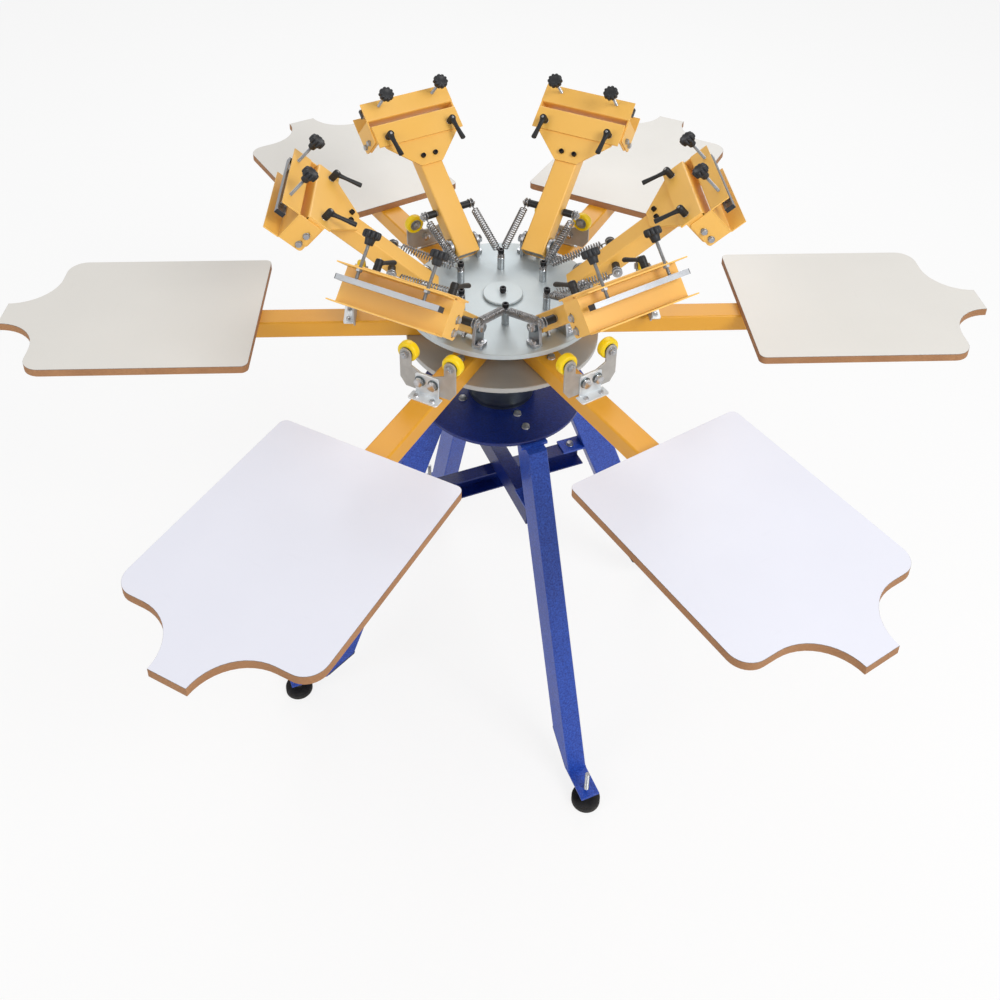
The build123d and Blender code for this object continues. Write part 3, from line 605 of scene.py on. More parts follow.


# ---------------------------------------------------------------- platen arms
# Six rectangular steel tubes, powder coated orange, bolted flat on the lower disc. Black plugs
# close their outer ends. The heads get a paler copy of the same coat, which is painted light.
def powder_orange(name, deep, pale):
    coat = Finish(name, Coat_Weight=0.25, Coat_Roughness=0.3)
    peel = coat.noise(420, 2.0)
    drift = coat.noise(5, 3.0)
    coat.feed(Base_Color=coat.mix(drift, shade(*deep), shade(*pale)),
              Roughness=drift * 0.14 + peel * 0.06 + 0.34)
    return coat.bump(peel, 0.0004, 0.35).material


orange = powder_orange("orange_powder_coat", (222, 152, 28), (232, 170, 52))
stations = [60 * k for k in range(6)]
arm_top, arm_height, arm_width, arm_wall, arm_end = board_top - 20, 46, 60, 3, 960
disc_thick = 14
disc_bottom = arm_top - arm_height - disc_thick


def box_outline(width, height, corner, steps=4):
    w, h = width / 2, height / 2
    return rounded([(-w, -h), (w, -h), (w, h), (-w, h)], corner, steps)


dress("platen_arms", orange)
end_plug = plate(box_outline(arm_width - 6.6, arm_height - 6.6, 2.5), -12, 0.2, edge=0.6)
end_plug.add(plate(box_outline(arm_width - 0.6, arm_height - 0.6, 5), 0.0, 3.0, edge=1.0))
arm_plugs = Shape()
for angle in stations:
    arm_plugs.add(end_plug, turn("Z", angle) @ at(arm_end - 2.9, 0, arm_top - arm_height / 2) @ along_x)
arm_plugs = fit(arm_plugs.mesh("platen_arm_plugs", black), "platen_arm_plugs", "platen_carousel")


# ---------------------------------------------------------------- platens
# Fibreboard boards faced on top with white laminate; the two nearest the camera get a cooler copy of it, a
# painted cool sheen. The grey edge of the laminate shows as a line along the top of the brown sawn edge.
def laminate(name, tone):
    face = Finish(name, Coat_Weight=0.2, Coat_Roughness=0.2)
    cloud = face.noise(5, 4.0)
    scuff = face.noise(1.0, 2.0, 0.5, face.stretched(160, 20, 20, face.drawn())) > 0.71
    face.feed(Base_Color=face.mix((cloud * 0.8 + scuff * 0.15).clamped(), shade(*tone),
                                  shade(*(c - 8 for c in tone))),
              Roughness=cloud * 0.16 + scuff * 0.1 + 0.3)
    return face.bump(face.noise(1500, 2.0), 0.00015, 0.2).material


def laminate_edge():
    edge = Finish("laminate_edge")
    grain = edge.noise(300, 2.0)
    edge.feed(Base_Color=edge.mix(grain, shade(96, 92, 92), shade(142, 138, 136)),
              Roughness=grain * 0.2 + 0.4)
    return edge.material


def sawn_board():
    board = Finish("sawn_fibreboard", Specular_IOR_Level=0.3)
    fibre = board.noise(1.0, 4.0, 0.6, board.stretched(220, 220, 900))
    drift = board.noise(14, 3.0)
    board.feed(Base_Color=board.mix((fibre * 0.8 + drift * 0.5 - 0.15).clamped(), shade(132, 88, 60),
                                    shade(196, 148, 106)),
               Roughness=fibre * 0.2 + 0.6)
    return board.bump(fibre, 0.0008, 0.5).material


board_width, board_length, board_inner, board_thick = 450, 520, 602, 20
neck_half, neck_sweep, sweep_steps = 42, 105, 12


def board_outline():
    half = board_width / 2
    outer = board_inner + board_length
    corner = rounded([(board_inner, -half), (outer, -half), (outer, half), (board_inner, half)],
                     [16, 45, 45, 16], 10)
    points = [Vector((p.x, p.y)) for p in corner]
    split = next(k for k, p in enumerate(points) if p.y > 0)
    sweep = []
    for side, order in ((-1, range(sweep_steps + 1)), (1, range(sweep_steps, -1, -1))):
        for k in order:
            a = math.radians(90 * k / sweep_steps)
            sweep.append(Vector((outer + neck_sweep * (1 - math.cos(a)),
                                 side * (neck_half + neck_sweep * (1 - math.sin(a))))))
    return points[:split] + sweep + points[split:]


laminate_thick = 1.2
outline = board_outline()
board = plate(outline, arm_top, arm_top + board_thick - laminate_thick - 0.01, edge=0.5)
top = plate(outline, arm_top + board_thick - laminate_thick, arm_top + board_thick, edge=0.35)
top_level = arm_top + board_thick - 0.2
top.faces = [(f, 0 if all(top.points[k].z > top_level for k in f) else 2) for f, _ in top.faces]
platen = Shape().add(board, finish=1).add(top)
board_finishes = (sawn_board(), laminate_edge())
# Painted cool sheen: the two boards nearest the camera get a cooler copy of the same laminate.
sheen_white = laminate("laminate_painted_cool_sheen", (228, 229, 240))
warm_white = laminate("warm_laminate", (224, 221, 215))
nearest_boards = (5, 6)
for number, angle in enumerate(stations, 1):
    facing = sheen_white if number in nearest_boards else warm_white
    platen_mesh = platen.mesh("platen", facing, *board_finishes, crease=30)
    piece = fit(platen_mesh, f"platen_board_{number}", "platen_carousel", turn("Z", angle))
    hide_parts(f"platen_{number}")


# ---------------------------------------------------------------- registration gates
# Bent and bolted zinc-plated plates at the inner end of each platen arm. Two uprights on each
# carry the rollers that the lowered head closes on.
gate_face, gate_thick, gate_side, gate_half = 368, 4, 57.5, 15
gate_low, gate_web, roller_level = board_top - 11, board_top + 39, board_top + 77
gate_bolt_side, gate_bolt_level, gate_bolt_hole = 17, board_top + 20, 6.3
gate_sheet, foot_bolt_x, foot_bolt_side = 3.5, gate_face + 16, 21


def round_hole(x, y, radius, count=20):
    return [(x + radius * math.cos(a), y + radius * math.sin(a)) for a in around(count)]


def long_hole(x, y, radius, reach):
    """A slot along the first axis, its round ends centred a reach either side."""
    right = [math.pi * k / 9 for k in range(10)]
    left = [math.pi * k / 9 for k in range(9, 19)]
    ends = [(x + reach, a) for a in right] + [(x - reach, a) for a in left]
    return [(centre + radius * math.sin(a), y - radius * math.cos(a)) for centre, a in ends]


def gate_outline():
    inner, outer = gate_side - gate_half, gate_side + gate_half
    right = [Vector((gate_side, gate_low)), Vector((outer, gate_low + 22)),
             Vector((outer, roller_level))]
    cap = [Vector((gate_side + gate_half * math.cos(math.radians(a)),
                   roller_level + gate_half * math.sin(math.radians(a)))) for a in range(15, 180, 15)]
    tail = [Vector((inner, roller_level)), Vector((inner, gate_web + 12)),
            Vector((gate_bolt_side, gate_web))]
    one = right + cap + tail
    return one + [Vector((-p.x, p.y)) for p in reversed(one)]


bolt_holes = [round_hole(side * gate_bolt_side, gate_bolt_level, gate_bolt_hole) for side in (-1, 1)]
holes = [round_hole(side * gate_side, roller_level, 5.3) for side in (-1, 1)] + bolt_holes
gate = plate(gate_outline(), gate_face - gate_thick, gate_face, holes, edge=0.5)
gate_plates = Shape()
gate_feet = Shape()
base_foot = plate(rounded([(gate_face, -38), (gate_face + 28, -38), (gate_face + 28, 38), (gate_face, 38)],
                          [0, 6, 6, 0]), arm_top, arm_top + gate_sheet,
                  [round_hole(foot_bolt_x, side * foot_bolt_side, 3.3) for side in (-1, 1)], edge=0.5)
base_web = plate(rounded([(-30, arm_top), (30, arm_top), (30, gate_web), (-30, gate_web)], [0, 0, 5, 5]),
                 gate_face, gate_face + gate_sheet, bolt_holes, edge=0.5)
for angle in stations:
    gate_plates.add(gate, turn("Z", angle) @ along_x)
    gate_feet.add(base_foot, turn("Z", angle))
    gate_feet.add(base_web, turn("Z", angle) @ along_x)
dull_zinc = zinc_plated("dull_zinc", (158, 156, 152), (196, 194, 190), 0.5, 0.34)
gate_plates = fit(gate_plates.mesh("roller_gates", dull_zinc), "roller_gates", "platen_carousel")
foot_zinc = zinc_plated("foot_zinc", (204, 210, 215), (238, 242, 244), 0.35, 0.26)
gate_feet = fit(gate_feet.mesh("gate_feet", foot_zinc), "gate_feet", "platen_carousel")
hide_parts("gate_plates")
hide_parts("gate_bases")


# ---------------------------------------------------------------- platen carousel fasteners
# M10 bolts through arm and disc, M8 bolts up into the boards, M12 bolts through the gates, each on
# a large dark washer and a smaller bright one, and M6 bolts in the gate feet.
bright_bolts = zinc_plated("bolt_zinc", (158, 158, 160), (228, 228, 230), 1.0, 0.14)
platen_bolts = Shape()
arm_bolt_radii, board_bolt_radii, into_board = (130, 215), (660, 890), board_thick - 7
for angle in stations:
    here = turn("Z", angle)
    for radius in arm_bolt_radii:
        platen_bolts.add(bolt(5, arm_top, disc_bottom), here @ at(radius))
    for radius in board_bolt_radii:
        up_into_board = at(radius, 0, arm_top - arm_height) @ turn("X", 180)
        platen_bolts.add(bolt(4, 0, -arm_height - into_board, nut=False), here @ up_into_board)
    for side in (-1, 1):
        platen_bolts.add(bolt(3, arm_top + gate_sheet, arm_top - arm_wall),
                         here @ at(foot_bolt_x, side * foot_bolt_side))
        through_gate = at(gate_face, side * gate_bolt_side, gate_bolt_level) @ turn("Y", 90)
        platen_bolts.add(washer(13.5, 6, gate_sheet, 5.9), here @ through_gate, 1)
        platen_bolts.add(washer(10.2, 6, 5.9, 8.3), here @ through_gate)
        platen_bolts.add(bolt(6, 8.5, -gate_thick, washers=False), here @ through_gate)
platen_bolting = platen_bolts.mesh("platen_bolting", bright_bolts, oiled)
platen_bolts = fit(platen_bolting, "platen_bolting", "platen_carousel")
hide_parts("platen_fasteners")


# ---------------------------------------------------------------- rollers
# Yellow acetal rollers, each with a shielded ball bearing pressed into its middle.
# They turn on shouldered pins nutted through the gate's uprights.
def acetal():
    yellow = Finish("yellow_acetal", Subsurface_Weight=0.06, Subsurface_Radius=(0.004, 0.003, 0.001),
                    Subsurface_Scale=0.4)
    cloud = yellow.noise(24, 3.0)
    marks = yellow.noise(1.0, 2.0, 0.5, yellow.stretched(1200, 60, 60, yellow.drawn()))
    yellow.feed(Base_Color=yellow.mix(cloud, shade(246, 206, 8), shade(252, 222, 24)),
                Roughness=cloud * 0.14 + marks * 0.08 + 0.26)
    return yellow.bump(marks, 0.0002, 0.3).material


roller_back = gate_face - gate_thick - 2
roller_front = roller_back - 20
roller_middle = (roller_front + roller_back) / 2
tyre = lathe([(15.5, -10), (21, -10), (22.6, -9.4), (24.4, -7.4), (25, -5.4), (25, 5.4), (24.4, 7.4),
              (22.6, 9.4), (21, 10), (15.5, 10), (15.5, -10)], 48)
bearing = Shape()
for side in (-1, 1):
    face = lathe([(15.5, 8.6), (15.2, 9.0), (13.6, 9.0), (13.4, 8.5), (8.6, 8.5), (8.4, 9.0), (5.06, 9.0),
                  (5.06, 0.0)], 40)
    bearing.add(face, turn("X", 0 if side > 0 else 180))
roller_mesh = Shape().add(tyre, along_x).add(bearing, along_x, 1)
roller_mesh = roller_mesh.mesh("roller", acetal(), ground, crease=28)
number = 0
pins = Shape()
pin = lathe([(8, roller_back + 0.3), (8, gate_face - gate_thick)], 24)
pin.add(lathe([(5, roller_front - 0.3), (5, gate_face + 9)], 20))
pin.add(lathe([(4.2, gate_face + 10), (5, gate_face + 9)], 20))
pin.add(hexagon(16, 0, 6), at(0, 0, roller_front - 0.3) @ turn("X", 180))
pin.add(hexagon(16, gate_face, gate_face + 7))
pin.add(washer(9, 5, gate_face, gate_face + 0.6))
for angle in stations:
    for side in (-1, 1):
        number += 1
        centre = turn("Z", angle) @ at(roller_middle, side * gate_side, roller_level)
        shown = Matrix.Translation(centre.translation * 0.001) @ centre.to_3x3().to_4x4()
        roller = fit(roller_mesh, f"yellow_roller_{number}", f"roller_{number}", shown)
        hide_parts(f"roller_{number}")
        pins.add(pin, turn("Z", angle) @ at(0, side * gate_side, roller_level) @ along_x)
pins = fit(pins.mesh("roller_axles", zinc), "roller_axles", "platen_carousel")
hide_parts("roller_pins")


# ---------------------------------------------------------------- shaft cap
# A turned washer that holds the head disc's hub on the shaft, drawn down by one black socket
# screw on a collar.
def blacked_steel():
    oxide = Finish("black_oxide", Metallic=0.75)
    cloud = oxide.noise(60, 3.0)
    oxide.feed(Base_Color=oxide.mix(cloud, shade(30, 30, 32), shade(62, 62, 66)),
               Roughness=cloud * 0.2 + 0.28)
    return oxide.bump(oxide.noise(800, 2.0), 0.0002, 0.3).material


blacked = blacked_steel()


def socket_screw(radius, seat, depth):
    """A socket cap screw along Z with a knurled head and a hexagon socket."""
    outer, top = 1.6 * radius, seat + 2 * radius
    count = 36
    smooth = [outer] * count
    knurled = [outer - (0.35 if k % 2 else 0) for k in range(count)]
    socket = [hexagon_reach(0.85 * radius, a) for a in around(count)]
    rows = [(smooth, seat), (knurled, seat + 0.5), (knurled, top - 0.6), ([outer - 0.6] * count, top),
            (socket, top), (socket, seat + radius)]
    points = [(*polar(reach, a), level) for reaches, level in rows
              for reach, a in zip(reaches, around(count))]
    screw = Shape(points, skin(len(rows), count))
    return screw.add(thread(radius, seat - depth, seat, max(1.0, radius * 0.3)))


disc_top = board_top + 34
cap_low, cap_high = disc_top + 2, disc_top + 8
cap = lathe([(5.1, cap_low), (49, cap_low), (50, cap_low + 0.8), (50, cap_high - 1.5), (48.5, cap_high),
             (13, cap_high), (12.4, cap_high - 0.4), (5.1, cap_high - 0.4), (5.1, cap_low)], 64)
cap = fit(cap.mesh("cap_washer", bright_disc, crease=28), "cap_washer", "stand")
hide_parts("shaft_cap")
collar = 5
cap_screw = socket_screw(5, cap_high + collar, 31)
cap_screw.add(washer(7.4, 5, cap_high, cap_high + collar))
cap_screw = fit(cap_screw.mesh("cap_socket_screw", blacked), "cap_socket_screw", "stand")
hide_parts("cap_screw")


# ---------------------------------------------------------------- hinge ears
# Pairs of arched steel cheeks milled bright, each with a foot bolted down to the head disc.
# Their polished faces carry the hinge pin.
def milled_steel():
    steel = Finish("milled_steel", Metallic=1.0)
    passes = steel.noise(1.0, 2.0, 0.5, steel.stretched(30, 30, 700))
    cloud = steel.noise(30, 3.0)
    steel.feed(Base_Color=steel.mix(cloud, shade(146, 150, 156), shade(208, 210, 213)),
               Roughness=passes * 0.12 + cloud * 0.14 + 0.2)
    return steel.bump(passes, 0.0002, 0.3).material


milled = milled_steel()
pivot_radius, pivot_height = 198, 44
pivot_level = disc_top + pivot_height
arm_half = 32
ear_inner, ear_outer = arm_half + 2, arm_half + 10
arch = [Vector((-20, -pivot_height)), Vector((27, -pivot_height))]
arch += [Vector(polar(22, math.radians(a))) for a in range(0, 181, 12)]
cheek = plate(arch, ear_inner, ear_outer, [round_hole(0, 0, 6.06, 28)], edge=0.6)
ears = Shape()
ear_foot_high = disc_top + 8
ear_bolt_x, ear_bolt_side = 13, ear_outer + 9
ear_foot = plate(rounded([(-6, ear_outer - 0.5), (27, ear_outer - 0.5), (27, ear_outer + 18),
                          (-6, ear_outer + 18)], [0, 0, 6, 6]),
                 disc_top, ear_foot_high, [round_hole(ear_bolt_x, ear_bolt_side, 4.3)], edge=0.6)
for angle in stations:
    for side in (-1, 1):
        here = turn("Z", angle) @ mirror(side)
        ears.add(cheek, here @ at(pivot_radius, 0, pivot_level) @ facing_y)
        ears.add(ear_foot, here @ at(pivot_radius))
ears = fit(ears.mesh("hinge_cheeks", milled), "hinge_cheeks", "head_carousel")
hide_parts("hinge_ears")


# ---------------------------------------------------------------- head carousel fasteners
# M12 hinge pins right through each pair of ears with a lock nut, washers inside and outside the
# ears, and the M8 bolts through the ears' feet and the disc.
head_bolts = Shape()
pin_washer = washer(12, 6, arm_half + 0.3, arm_half + 2)
for angle in stations:
    here = turn("Z", angle)
    for side in (-1, 1):
        head_bolts.add(bolt(4, ear_foot_high, disc_top - disc_thick),
                       here @ at(pivot_radius + ear_bolt_x, side * ear_bolt_side))
        head_bolts.add(pin_washer, here @ at(pivot_radius, 0, pivot_level) @ turn("X", -90 * side))
    hinge_pin = bolt(6, ear_outer + 5, -ear_outer - 5, washers=False)
    for way in (0, 180):
        hinge_pin.add(washer(15, 6, ear_outer + 0.2, ear_outer + 2.6), turn("X", way), 1)
        hinge_pin.add(washer(12, 6, ear_outer + 2.6, ear_outer + 5), turn("X", way))
    head_bolts.add(hinge_pin, here @ at(pivot_radius, 0, pivot_level) @ turn("X", -90))
head_bolting = head_bolts.mesh("head_bolting", bright_bolts, oiled)
head_bolts = fit(head_bolting, "head_bolting", "head_carousel")
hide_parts("head_fasteners")


# ---------------------------------------------------------------- spring posts
# Six turned posts between the heads, bright steel with a groove for two spring eyes under the
# head of a black socket screw.
def bright_steel(name, dark, light, patches, grain, dullness):
    steel = Finish(name, Metallic=1.0)
    cloud = steel.noise(patches, 3.0)
    steel.feed(Base_Color=steel.mix(cloud, shade(*dark), shade(*light)),
               Roughness=cloud * 0.14 + dullness)
    return steel.bump(steel.noise(grain, 2.0), 0.0001, 0.2).material


chrome = bright_steel("chromed_steel", (150, 153, 157), (214, 216, 218), 40, 500, 0.16)
post_radius, post_body, post_groove = 120, 36, 12
post_top = post_body + post_groove
stem = lathe([(8.6, 0), (9.2, 0.6), (9.2, post_body - 1), (8.4, post_body), (5, post_body + 0.3),
              (5, post_top), (4.0, post_top + 1)])
post = Shape().add(stem).add(socket_screw(5, post_top + 1, 1), finish=1)
posts = Shape()
for angle in stations:
    posts.add(post, turn("Z", angle + 30) @ at(post_radius, 0, disc_top))
posts = fit(posts.mesh("posts", chrome, blacked, crease=28), "posts", "head_carousel")
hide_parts("spring_posts")


# ---------------------------------------------------------------- head arms
# Powder-coated rectangular tubes, each with a flared corner plate held by two socket screws, a pair
# of side studs with black sleeves for the springs, and a stop bolt. The hinge pin runs through them.
# Everything on a head is drawn lowered about its hinge pin, X outwards, and then raised 42 degrees.
arm_back, arm_front, arm_tall, arm_wide = -33, 346, 44, 64
plate_low, plate_high = 22, 27
stud_x, spring_line, stud_end = 98, 70, 82
sleeve_start, sleeve_end = 36.5, 64
lever_x, lever_y, slot_reach = 322, 92, 6
raise_angle = 42


def head_place(angle):
    pivot = Vector((pivot_radius, 0, pivot_level)) * 0.001
    return turn("Z", angle) @ Matrix.Translation(pivot) @ turn("Y", -raise_angle)


tube_outer = box_outline(arm_wide, arm_tall, 5, 5)
tube_inner = box_outline(arm_wide - 6, arm_tall - 6, 2, 3)
arm = Shape().add(plate(tube_outer, arm_back, arm_front, [tube_inner], edge=0.5), along_x)
closing = plate(box_outline(arm_wide - 6.4, arm_tall - 6.4, 2), -4, 0, edge=0.6)
for end, way, finish in ((arm_back + 1.5, 180, 3), (arm_front - 2, 0, 1)):
    arm.add(closing, at(end) @ turn("Z", way) @ along_x, finish)
flare = [(225, -31), (297, -107), (350, -107), (350, 107), (297, 107), (225, 31)]
slots = []
for side in (-1, 1):
    slots.append(long_hole(lever_x, side * lever_y, 4.5, slot_reach))
    slots.append(round_hole(250, side * 18, 4.3))
arm.add(plate(rounded(flare, [6, 8, 8, 8, 8, 6]), plate_low, plate_high, slots, edge=0.6))
for side in (-1, 1):
    arm.add(socket_screw(4, plate_high, 14), at(250, side * 18), 2)
    across_arm = at(stud_x) @ turn("X", -90 * side)
    stud = hexagon(13, arm_wide / 2, sleeve_start)
    stud.add(thread(4, -stud_end, -arm_wide / 2, 1.25), turn("X", 180))
    stud.add(washer(12.5, 4, sleeve_end, sleeve_end + 1.6))
    stud.add(washer(12.5, 4, spring_line + 2.6, spring_line + 4.2))
    stud.add(hexagon(13, spring_line + 4.2, spring_line + 9.5))
    arm.add(stud, across_arm, 3)
    sleeve = lathe([(4.2, sleeve_start), (9.2, sleeve_start), (9.8, sleeve_start + 0.6),
                    (9.8, sleeve_end - 0.6), (9.2, sleeve_end), (4.2, sleeve_end),
                    (4.2, sleeve_start)], 28)
    arm.add(sleeve, across_arm, 4)
stop = hexagon(13, 22, 26)
stop.add(lathe([(3, 22), (3, 26), (5, 26), (5, 33.6), (4.4, 34.4)], 20))
stop.add(thread(3, -22, -4, 1), turn("X", 180))
arm.add(stop, at(-22) @ turn("X", 180), 3)
# Painted light: a paler copy of the same orange coat for the raised heads and their clamps.
lit_orange = powder_orange("powder_coat_painted_light", (238, 180, 76), (246, 194, 104))
head_arm = arm.mesh("head_arm", lit_orange, black, blacked, zinc, black, crease=28)
for number, angle in enumerate(stations, 1):
    piece = fit(head_arm, f"print_head_arm_{number}", f"head_{number}", head_place(angle))
    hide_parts(f"head_arm_{number}")


# ---------------------------------------------------------------- screen clamps
# A powder-coated angle under two ratchet levers, with side tabs, and the channel that takes the
# screen frame's rail: its ear plates are slotted and bolted to the tabs.
def bend(outline, low, high, edge=0.4):
    """A bent sheet drawn as its edge view in X and Z, running along Y from low to high."""
    return Shape().add(plate(outline, -high, -low, edge=edge), upright)


angle_low = plate_high + 0.3
angle_high = angle_low + 4
tab_side, angle_half = 120, 124
ear_side, ear_out = 124, 128
side_bolt_x, side_bolt_levels = 334, (-13, -41)
bar_x, screw_side = 414, 80

angle_section = rounded([(300, angle_low), (358, angle_low), (358, angle_high - 59), (362, angle_high - 59),
                         (362, angle_high), (300, angle_high)], [0, 1.5, 0, 0, 5, 0], 4)
clamp = bend(angle_section, -angle_half, angle_half)
for side in (-1, 1):
    tab = rounded([(314, angle_low), (314, angle_high - 73), (362, angle_high - 73), (362, angle_low)],
                  [0, 8, 8, 0])
    holes = [round_hole(side_bolt_x, z, 4.3) for z in side_bolt_levels]
    sheet = plate(tab, tab_side, angle_half, holes, edge=0.4)
    clamp.add(sheet, mirror(side) @ facing_y)
channel_section = rounded([(378, -58), (422, -58), (422, -55), (381, -55), (381, 21), (430, 21),
                           (430, 24), (378, 24)], [5, 0, 0, 2, 2, 0, 0, 5], 4)
clamp.add(bend(channel_section, -ear_out, ear_out))
for side in (-1, 1):
    ear = rounded([(318, -56), (379, -56), (379, 22), (318, 22)], [8, 0, 0, 8])
    slots = []
    for z in side_bolt_levels:
        turns = [math.radians(a) for a in (*range(0, 181, 20), *range(180, 361, 20))]
        slots.append([(side_bolt_x + 4.5 * math.cos(a),
                       z + (slot_reach if a <= math.pi else -slot_reach) + 4.5 * math.sin(a))
                      for a in turns])
    sheet = plate(ear, ear_side, ear_out, slots, edge=0.4)
    clamp.add(sheet, mirror(side) @ facing_y)
    for z in side_bolt_levels:
        clamp.add(bolt(4, ear_out, tab_side), at(side_bolt_x, 0, z) @ turn("X", -90 * side), 1)
    for part in (hexagon(13, 14.7, 21.7), thread(4, 13, angle_high, 1.25),
                 washer(9, 4, angle_high, angle_high + 1.2)):
        clamp.add(part, at(lever_x, side * lever_y), 1)
    clamp.add(hexagon(13, 0, 6), at(bar_x, side * screw_side, 21) @ turn("X", 180), 1)


def ratchet_lever():
    """A moulded ratchet lever: grooved boss and a straight handle that widens to its blunt end."""
    boss = lathe([(8.4, 1.2), (9.0, 2.0), (9.0, 12), (8.6, 12.6), (8.6, 13.4), (9.2, 14), (9.4, 22),
                  (8.8, 25.5), (7.4, 27.6), (4.6, 28.0), (4.4, 26.8), (0.3, 26.8)], 28)
    path = [(-6, 0, 20.5), (-14, 0, 22.4), (-26, 0, 25.2), (-44, 0, 29.4), (-60, 0, 33.2), (-65, 0, 34.3),
            (-66, 0, 34.6)]
    handle = tube(path, [6.6, 5.2, 4.6, 5.0, 5.7, 5.6, 4.6], 16)
    handle.points = [Vector((p.x, p.y * 1.25, p.z)) for p in handle.points]
    return Shape().add(boss, finish=2).add(handle, finish=2)


lever = ratchet_lever()
for side in (-1, 1):
    place = at(lever_x, side * lever_y, angle_high)
    clamp.add(lever, place)
    clamp.add(lathe([(3.4, 26.9), (3.4, 28.5), (2.8, 29.0), (0.3, 29.0)], 18), place, 1)
screen_clamp = clamp.mesh("screen_clamp", lit_orange, zinc, black, crease=30)
for number, angle in enumerate(stations, 1):
    piece = fit(screen_clamp, f"frame_clamp_{number}", f"screen_clamp_{number}", head_place(angle))
    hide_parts(f"screen_clamp_{number}")


# ---------------------------------------------------------------- clamp bars
# An extruded aluminium channel in the mouth of each screen clamp, pressed down on the screen frame
# by two zinc screws with black star knobs.
def mill_aluminium():
    metal = Finish("mill_aluminium", Metallic=1.0)
    lines = metal.noise(1.0, 2.0, 0.5, metal.stretched(900, 12, 900, metal.drawn()))
    cloud = metal.noise(20, 3.0)
    metal.feed(Base_Color=metal.mix(cloud, shade(158, 161, 165), shade(196, 198, 201)),
               Roughness=lines * 0.14 + cloud * 0.12 + 0.32)
    return metal.bump(lines, 0.0002, 0.3).material


def star_knob(lobes=10, radius=20, low=14, high=31):
    """A moulded star grip with pointed lobes and a dished top over a round hub."""
    count = lobes * 8
    lobed = [radius * (0.80 + 0.20 * abs(math.cos(a * lobes / 2)) ** 0.8) for a in around(count)]
    round_top = [radius] * count
    rows = [(lobed, 0.80, low), (lobed, 0.93, low + 1.2), (lobed, 1.0, low + 4), (lobed, 1.0, high - 5),
            (lobed, 0.95, high - 1.8), (lobed, 0.84, high - 0.3), (lobed, 0.70, high),
            (round_top, 0.52, high), (round_top, 0.46, high - 1.0), (round_top, 0.02, high - 1.2)]
    points = [(*polar(reach * share, a), level) for reaches, share, level in rows
              for reach, a in zip(reaches, around(count))]
    grip = Shape(points, skin(len(rows), count))
    return grip.add(lathe([(8.6, 0), (9.4, 0.8), (10.4, 8), (12, low + 1)]))


aluminium = mill_aluminium()
bar_low, bar_high, bar_half = -13, -1, 121.5
back, front, web = bar_x - 12, bar_x + 12, 2.5
bar_section = [(back, bar_low), (front, bar_low), (front, bar_high), (front - web, bar_high),
               (front - web, bar_low + web), (back + web, bar_low + web), (back + web, bar_high),
               (back, bar_high)]
bar = bend(bar_section, -bar_half, bar_half, edge=0.3)
knob = star_knob()
# Painted shade: a black sheet over each end of the channel stands for the dark inside of its open end.
painted_shade_end = bend([(back, bar_low), (front, bar_low), (front, bar_high), (back, bar_high)],
               bar_half, bar_half + 1.5)
for side in (-1, 1):
    bar.add(painted_shade_end, mirror(side), 2)
    place = at(bar_x, side * screw_side)
    bar.add(thread(4, bar_low + web, 74, 1.25), place, 1)
    bar.add(washer(8, 4, bar_low + web, bar_low + 4.5), place, 1)
    bar.add(knob, place @ at(0, 0, 73), 2)
# Black plastic of the knobs, also used as painted shade on the bar ends.
knob_and_end_shade_black = moulded_black("knob_black_and_painted_end_shade", (36, 37, 40))
clamp_bar = bar.mesh("clamp_bar", aluminium, zinc, knob_and_end_shade_black, crease=40)
for number, angle in enumerate(stations, 1):
    piece = fit(clamp_bar, f"pressure_bar_{number}", f"clamp_bar_{number}", head_place(angle))
    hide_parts(f"clamp_bar_{number}")


# ---------------------------------------------------------------- springs
# Twelve extension springs wound from bright wire, a closed eye at each end. Each lies from the
# groove of a post to a side stud of a head arm, drawn with its head raised and fixed there.
wire, coil_radius, coil_pitch, coil_steps, hook = 1.7, 8.8, 6.8, 14, 21
eye_radius, eye_step, eye_drop = 7.4, 2.3, 1.2
drawn_wire = bright_steel("drawn_wire", (112, 112, 114), (188, 188, 190), 60, 900, 0.22)
post_x = post_radius * math.cos(math.radians(30))
post_y = post_radius * math.sin(math.radians(30))


def spring_path(start, stop):
    """Points along the wire from one eye round the coil to the other eye."""
    way = (stop - start).normalized()
    length = (stop - start).length
    side = Vector((0, 1, 0))
    side = (side - way * side.dot(way)).normalized()
    other = way.cross(side)
    flat = Vector((way.x, way.y, 0)).normalized()
    across = Vector((-flat.y, flat.x, 0))
    path = [start + (flat * math.cos(math.radians(a)) + across * math.sin(math.radians(a))) * eye_radius
            for a in range(20, 361, 17)]
    inner = start + way * hook
    path += [start.lerp(inner, (eye_radius + 3) / hook), inner - way * 3]
    span = length - 2 * hook
    steps = int(span / coil_pitch) * coil_steps
    for k in range(steps + 1):
        a = 2 * math.pi * k / coil_steps
        grow = min(1, k / 6, (steps - k) / 6)
        path.append(inner + way * (span * k / steps)
                    + (side * math.cos(a) + other * math.sin(a)) * coil_radius * grow)
    outer = inner + way * span
    upright_flat = Vector((way.x, 0, way.z)).normalized()
    square = Vector((-upright_flat.z, 0, upright_flat.x))
    path += [outer + way * 3, stop - way * (eye_radius + 3)]
    path += [stop - (upright_flat * math.cos(math.radians(a)) + square * math.sin(math.radians(a)))
             * eye_radius for a in range(0, 341, 17)]
    return path


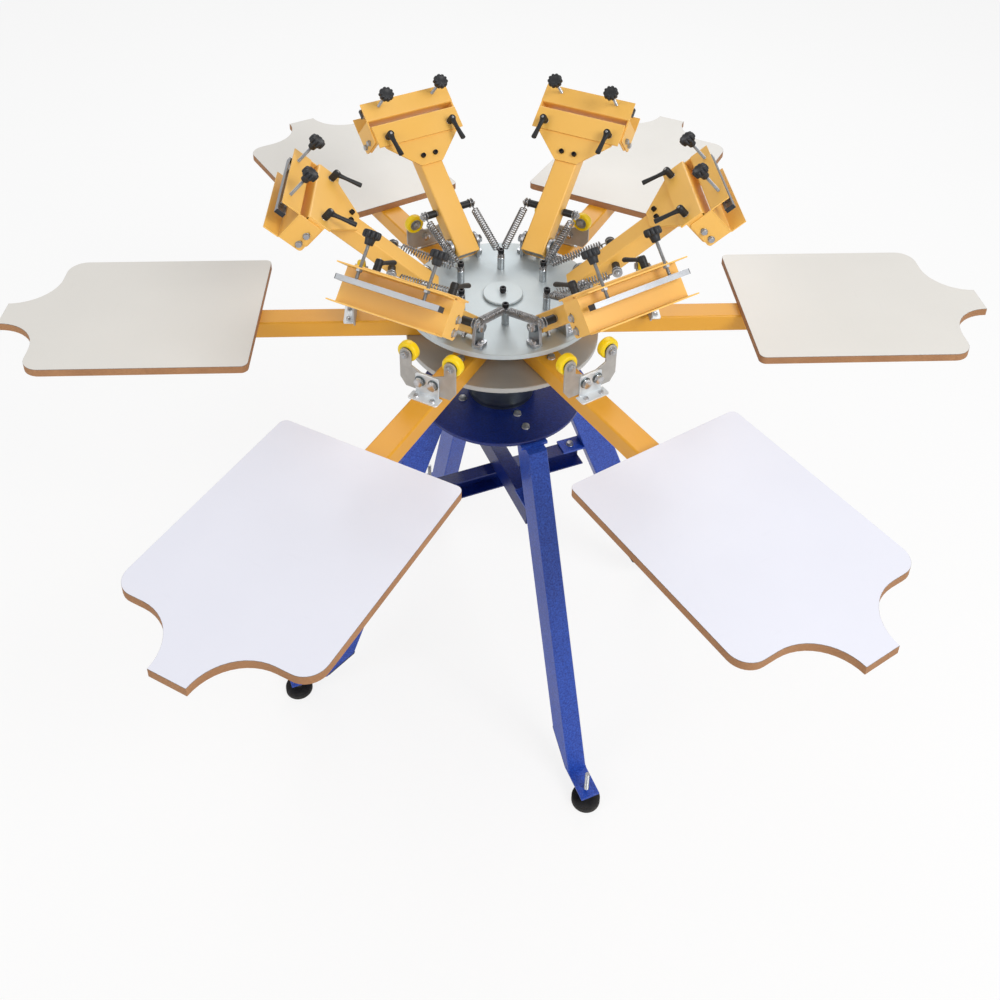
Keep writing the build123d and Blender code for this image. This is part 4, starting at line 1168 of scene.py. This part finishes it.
number = 0
lift = math.radians(raise_angle)
groove = disc_top + post_body + post_groove / 2 - eye_drop
for station, angle in enumerate(stations, 1):
    for side in (-1, 1):
        number += 1
        start = Vector((post_x, side * post_y, groove + side * eye_step))
        stop = Vector((pivot_radius + stud_x * math.cos(lift), side * spring_line,
                       pivot_level + stud_x * math.sin(lift)))
        coil = Shape().add(tube(spring_path(start, stop), wire, 8), turn("Z", angle))
        mesh = coil.mesh(f"spring_{number}", drawn_wire, crease=60)
        piece = link(f"spring_{number}", mesh)
        bpy.context.view_layer.update()
        way = (stop - start).normalized()
        ends = [(turn("Z", angle) @ p) * 0.001 for p in (start + way * hook, stop - way * hook)]
        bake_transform(piece)
        if number == 1:
            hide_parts("springs")


# ---------------------------------------------------------------- studio
# A plain white floor under soft light: one large lamp above the camera's right, a weaker one from
# the left, one behind the press and an even sky that the camera sees as plain white.
def sweep():
    white = Finish("white_floor", Roughness=0.9)
    cloud = white.noise(0.8, 2.0)
    white.feed(Base_Color=white.mix(cloud, (0.90, 0.90, 0.90), (0.92, 0.92, 0.92)))
    path = white.node("ShaderNodeLightPath", {}, {}, "Is Camera Ray")
    glow = white.node("ShaderNodeEmission", {}, {"Color": (1, 1, 1, 1), "Strength": 1.0})
    share = path * 0.8
    out = next(n for n in white.tree.nodes if n.type == "OUTPUT_MATERIAL")
    lit = Value(white, white.shader.outputs[0])
    mixed = white.node("ShaderNodeMixShader", {}, {0: share, 1: lit, 2: glow})
    white.tree.links.new(mixed.socket, out.inputs["Surface"])
    return white.material


floor_half = 9.0
floor_mesh = bpy.data.meshes.new("floor")
floor_corners = [(x * floor_half, y * floor_half, 0) for x, y in ((-1, -1), (1, -1), (1, 1), (-1, 1))]
floor_mesh.from_pydata(floor_corners, [], [(0, 1, 2, 3)])
floor_mesh.materials.append(sweep())
floor = link("floor", floor_mesh)

world = bpy.data.worlds.new("studio")
bpy.context.scene.world = world
world.use_nodes = True
tree = world.node_tree
sky = next(n for n in tree.nodes if n.type == "BACKGROUND")
rays = tree.nodes.new("ShaderNodeLightPath")
sky_on_press, sky_in_view = 0.55, 1.0
strength = tree.nodes.new("ShaderNodeMapRange")
strength.inputs["To Min"].default_value = sky_on_press
strength.inputs["To Max"].default_value = sky_in_view
tree.links.new(rays.outputs["Is Camera Ray"], strength.inputs["Value"])
sky.inputs["Color"].default_value = (1, 1, 1, 1)
tree.links.new(strength.outputs["Result"], sky.inputs["Strength"])


def soft_lamp(name, place, power, size):
    lamp = link(name, bpy.data.lights.new(name, "AREA"))
    lamp.data.energy, lamp.data.size = power, size
    lamp.location = place
    lamp.rotation_euler = (Vector((0, 0, 1.0)) - Vector(place)).to_track_quat("-Z", "Y").to_euler()


soft_lamp("key", (2.8, -3.2, 4.6), 150, 2.4)
soft_lamp("fill", (-3.6, -2.4, 3.2), 42, 2.6)
soft_lamp("back", (0.5, 4.0, 4.4), 70, 3.0)
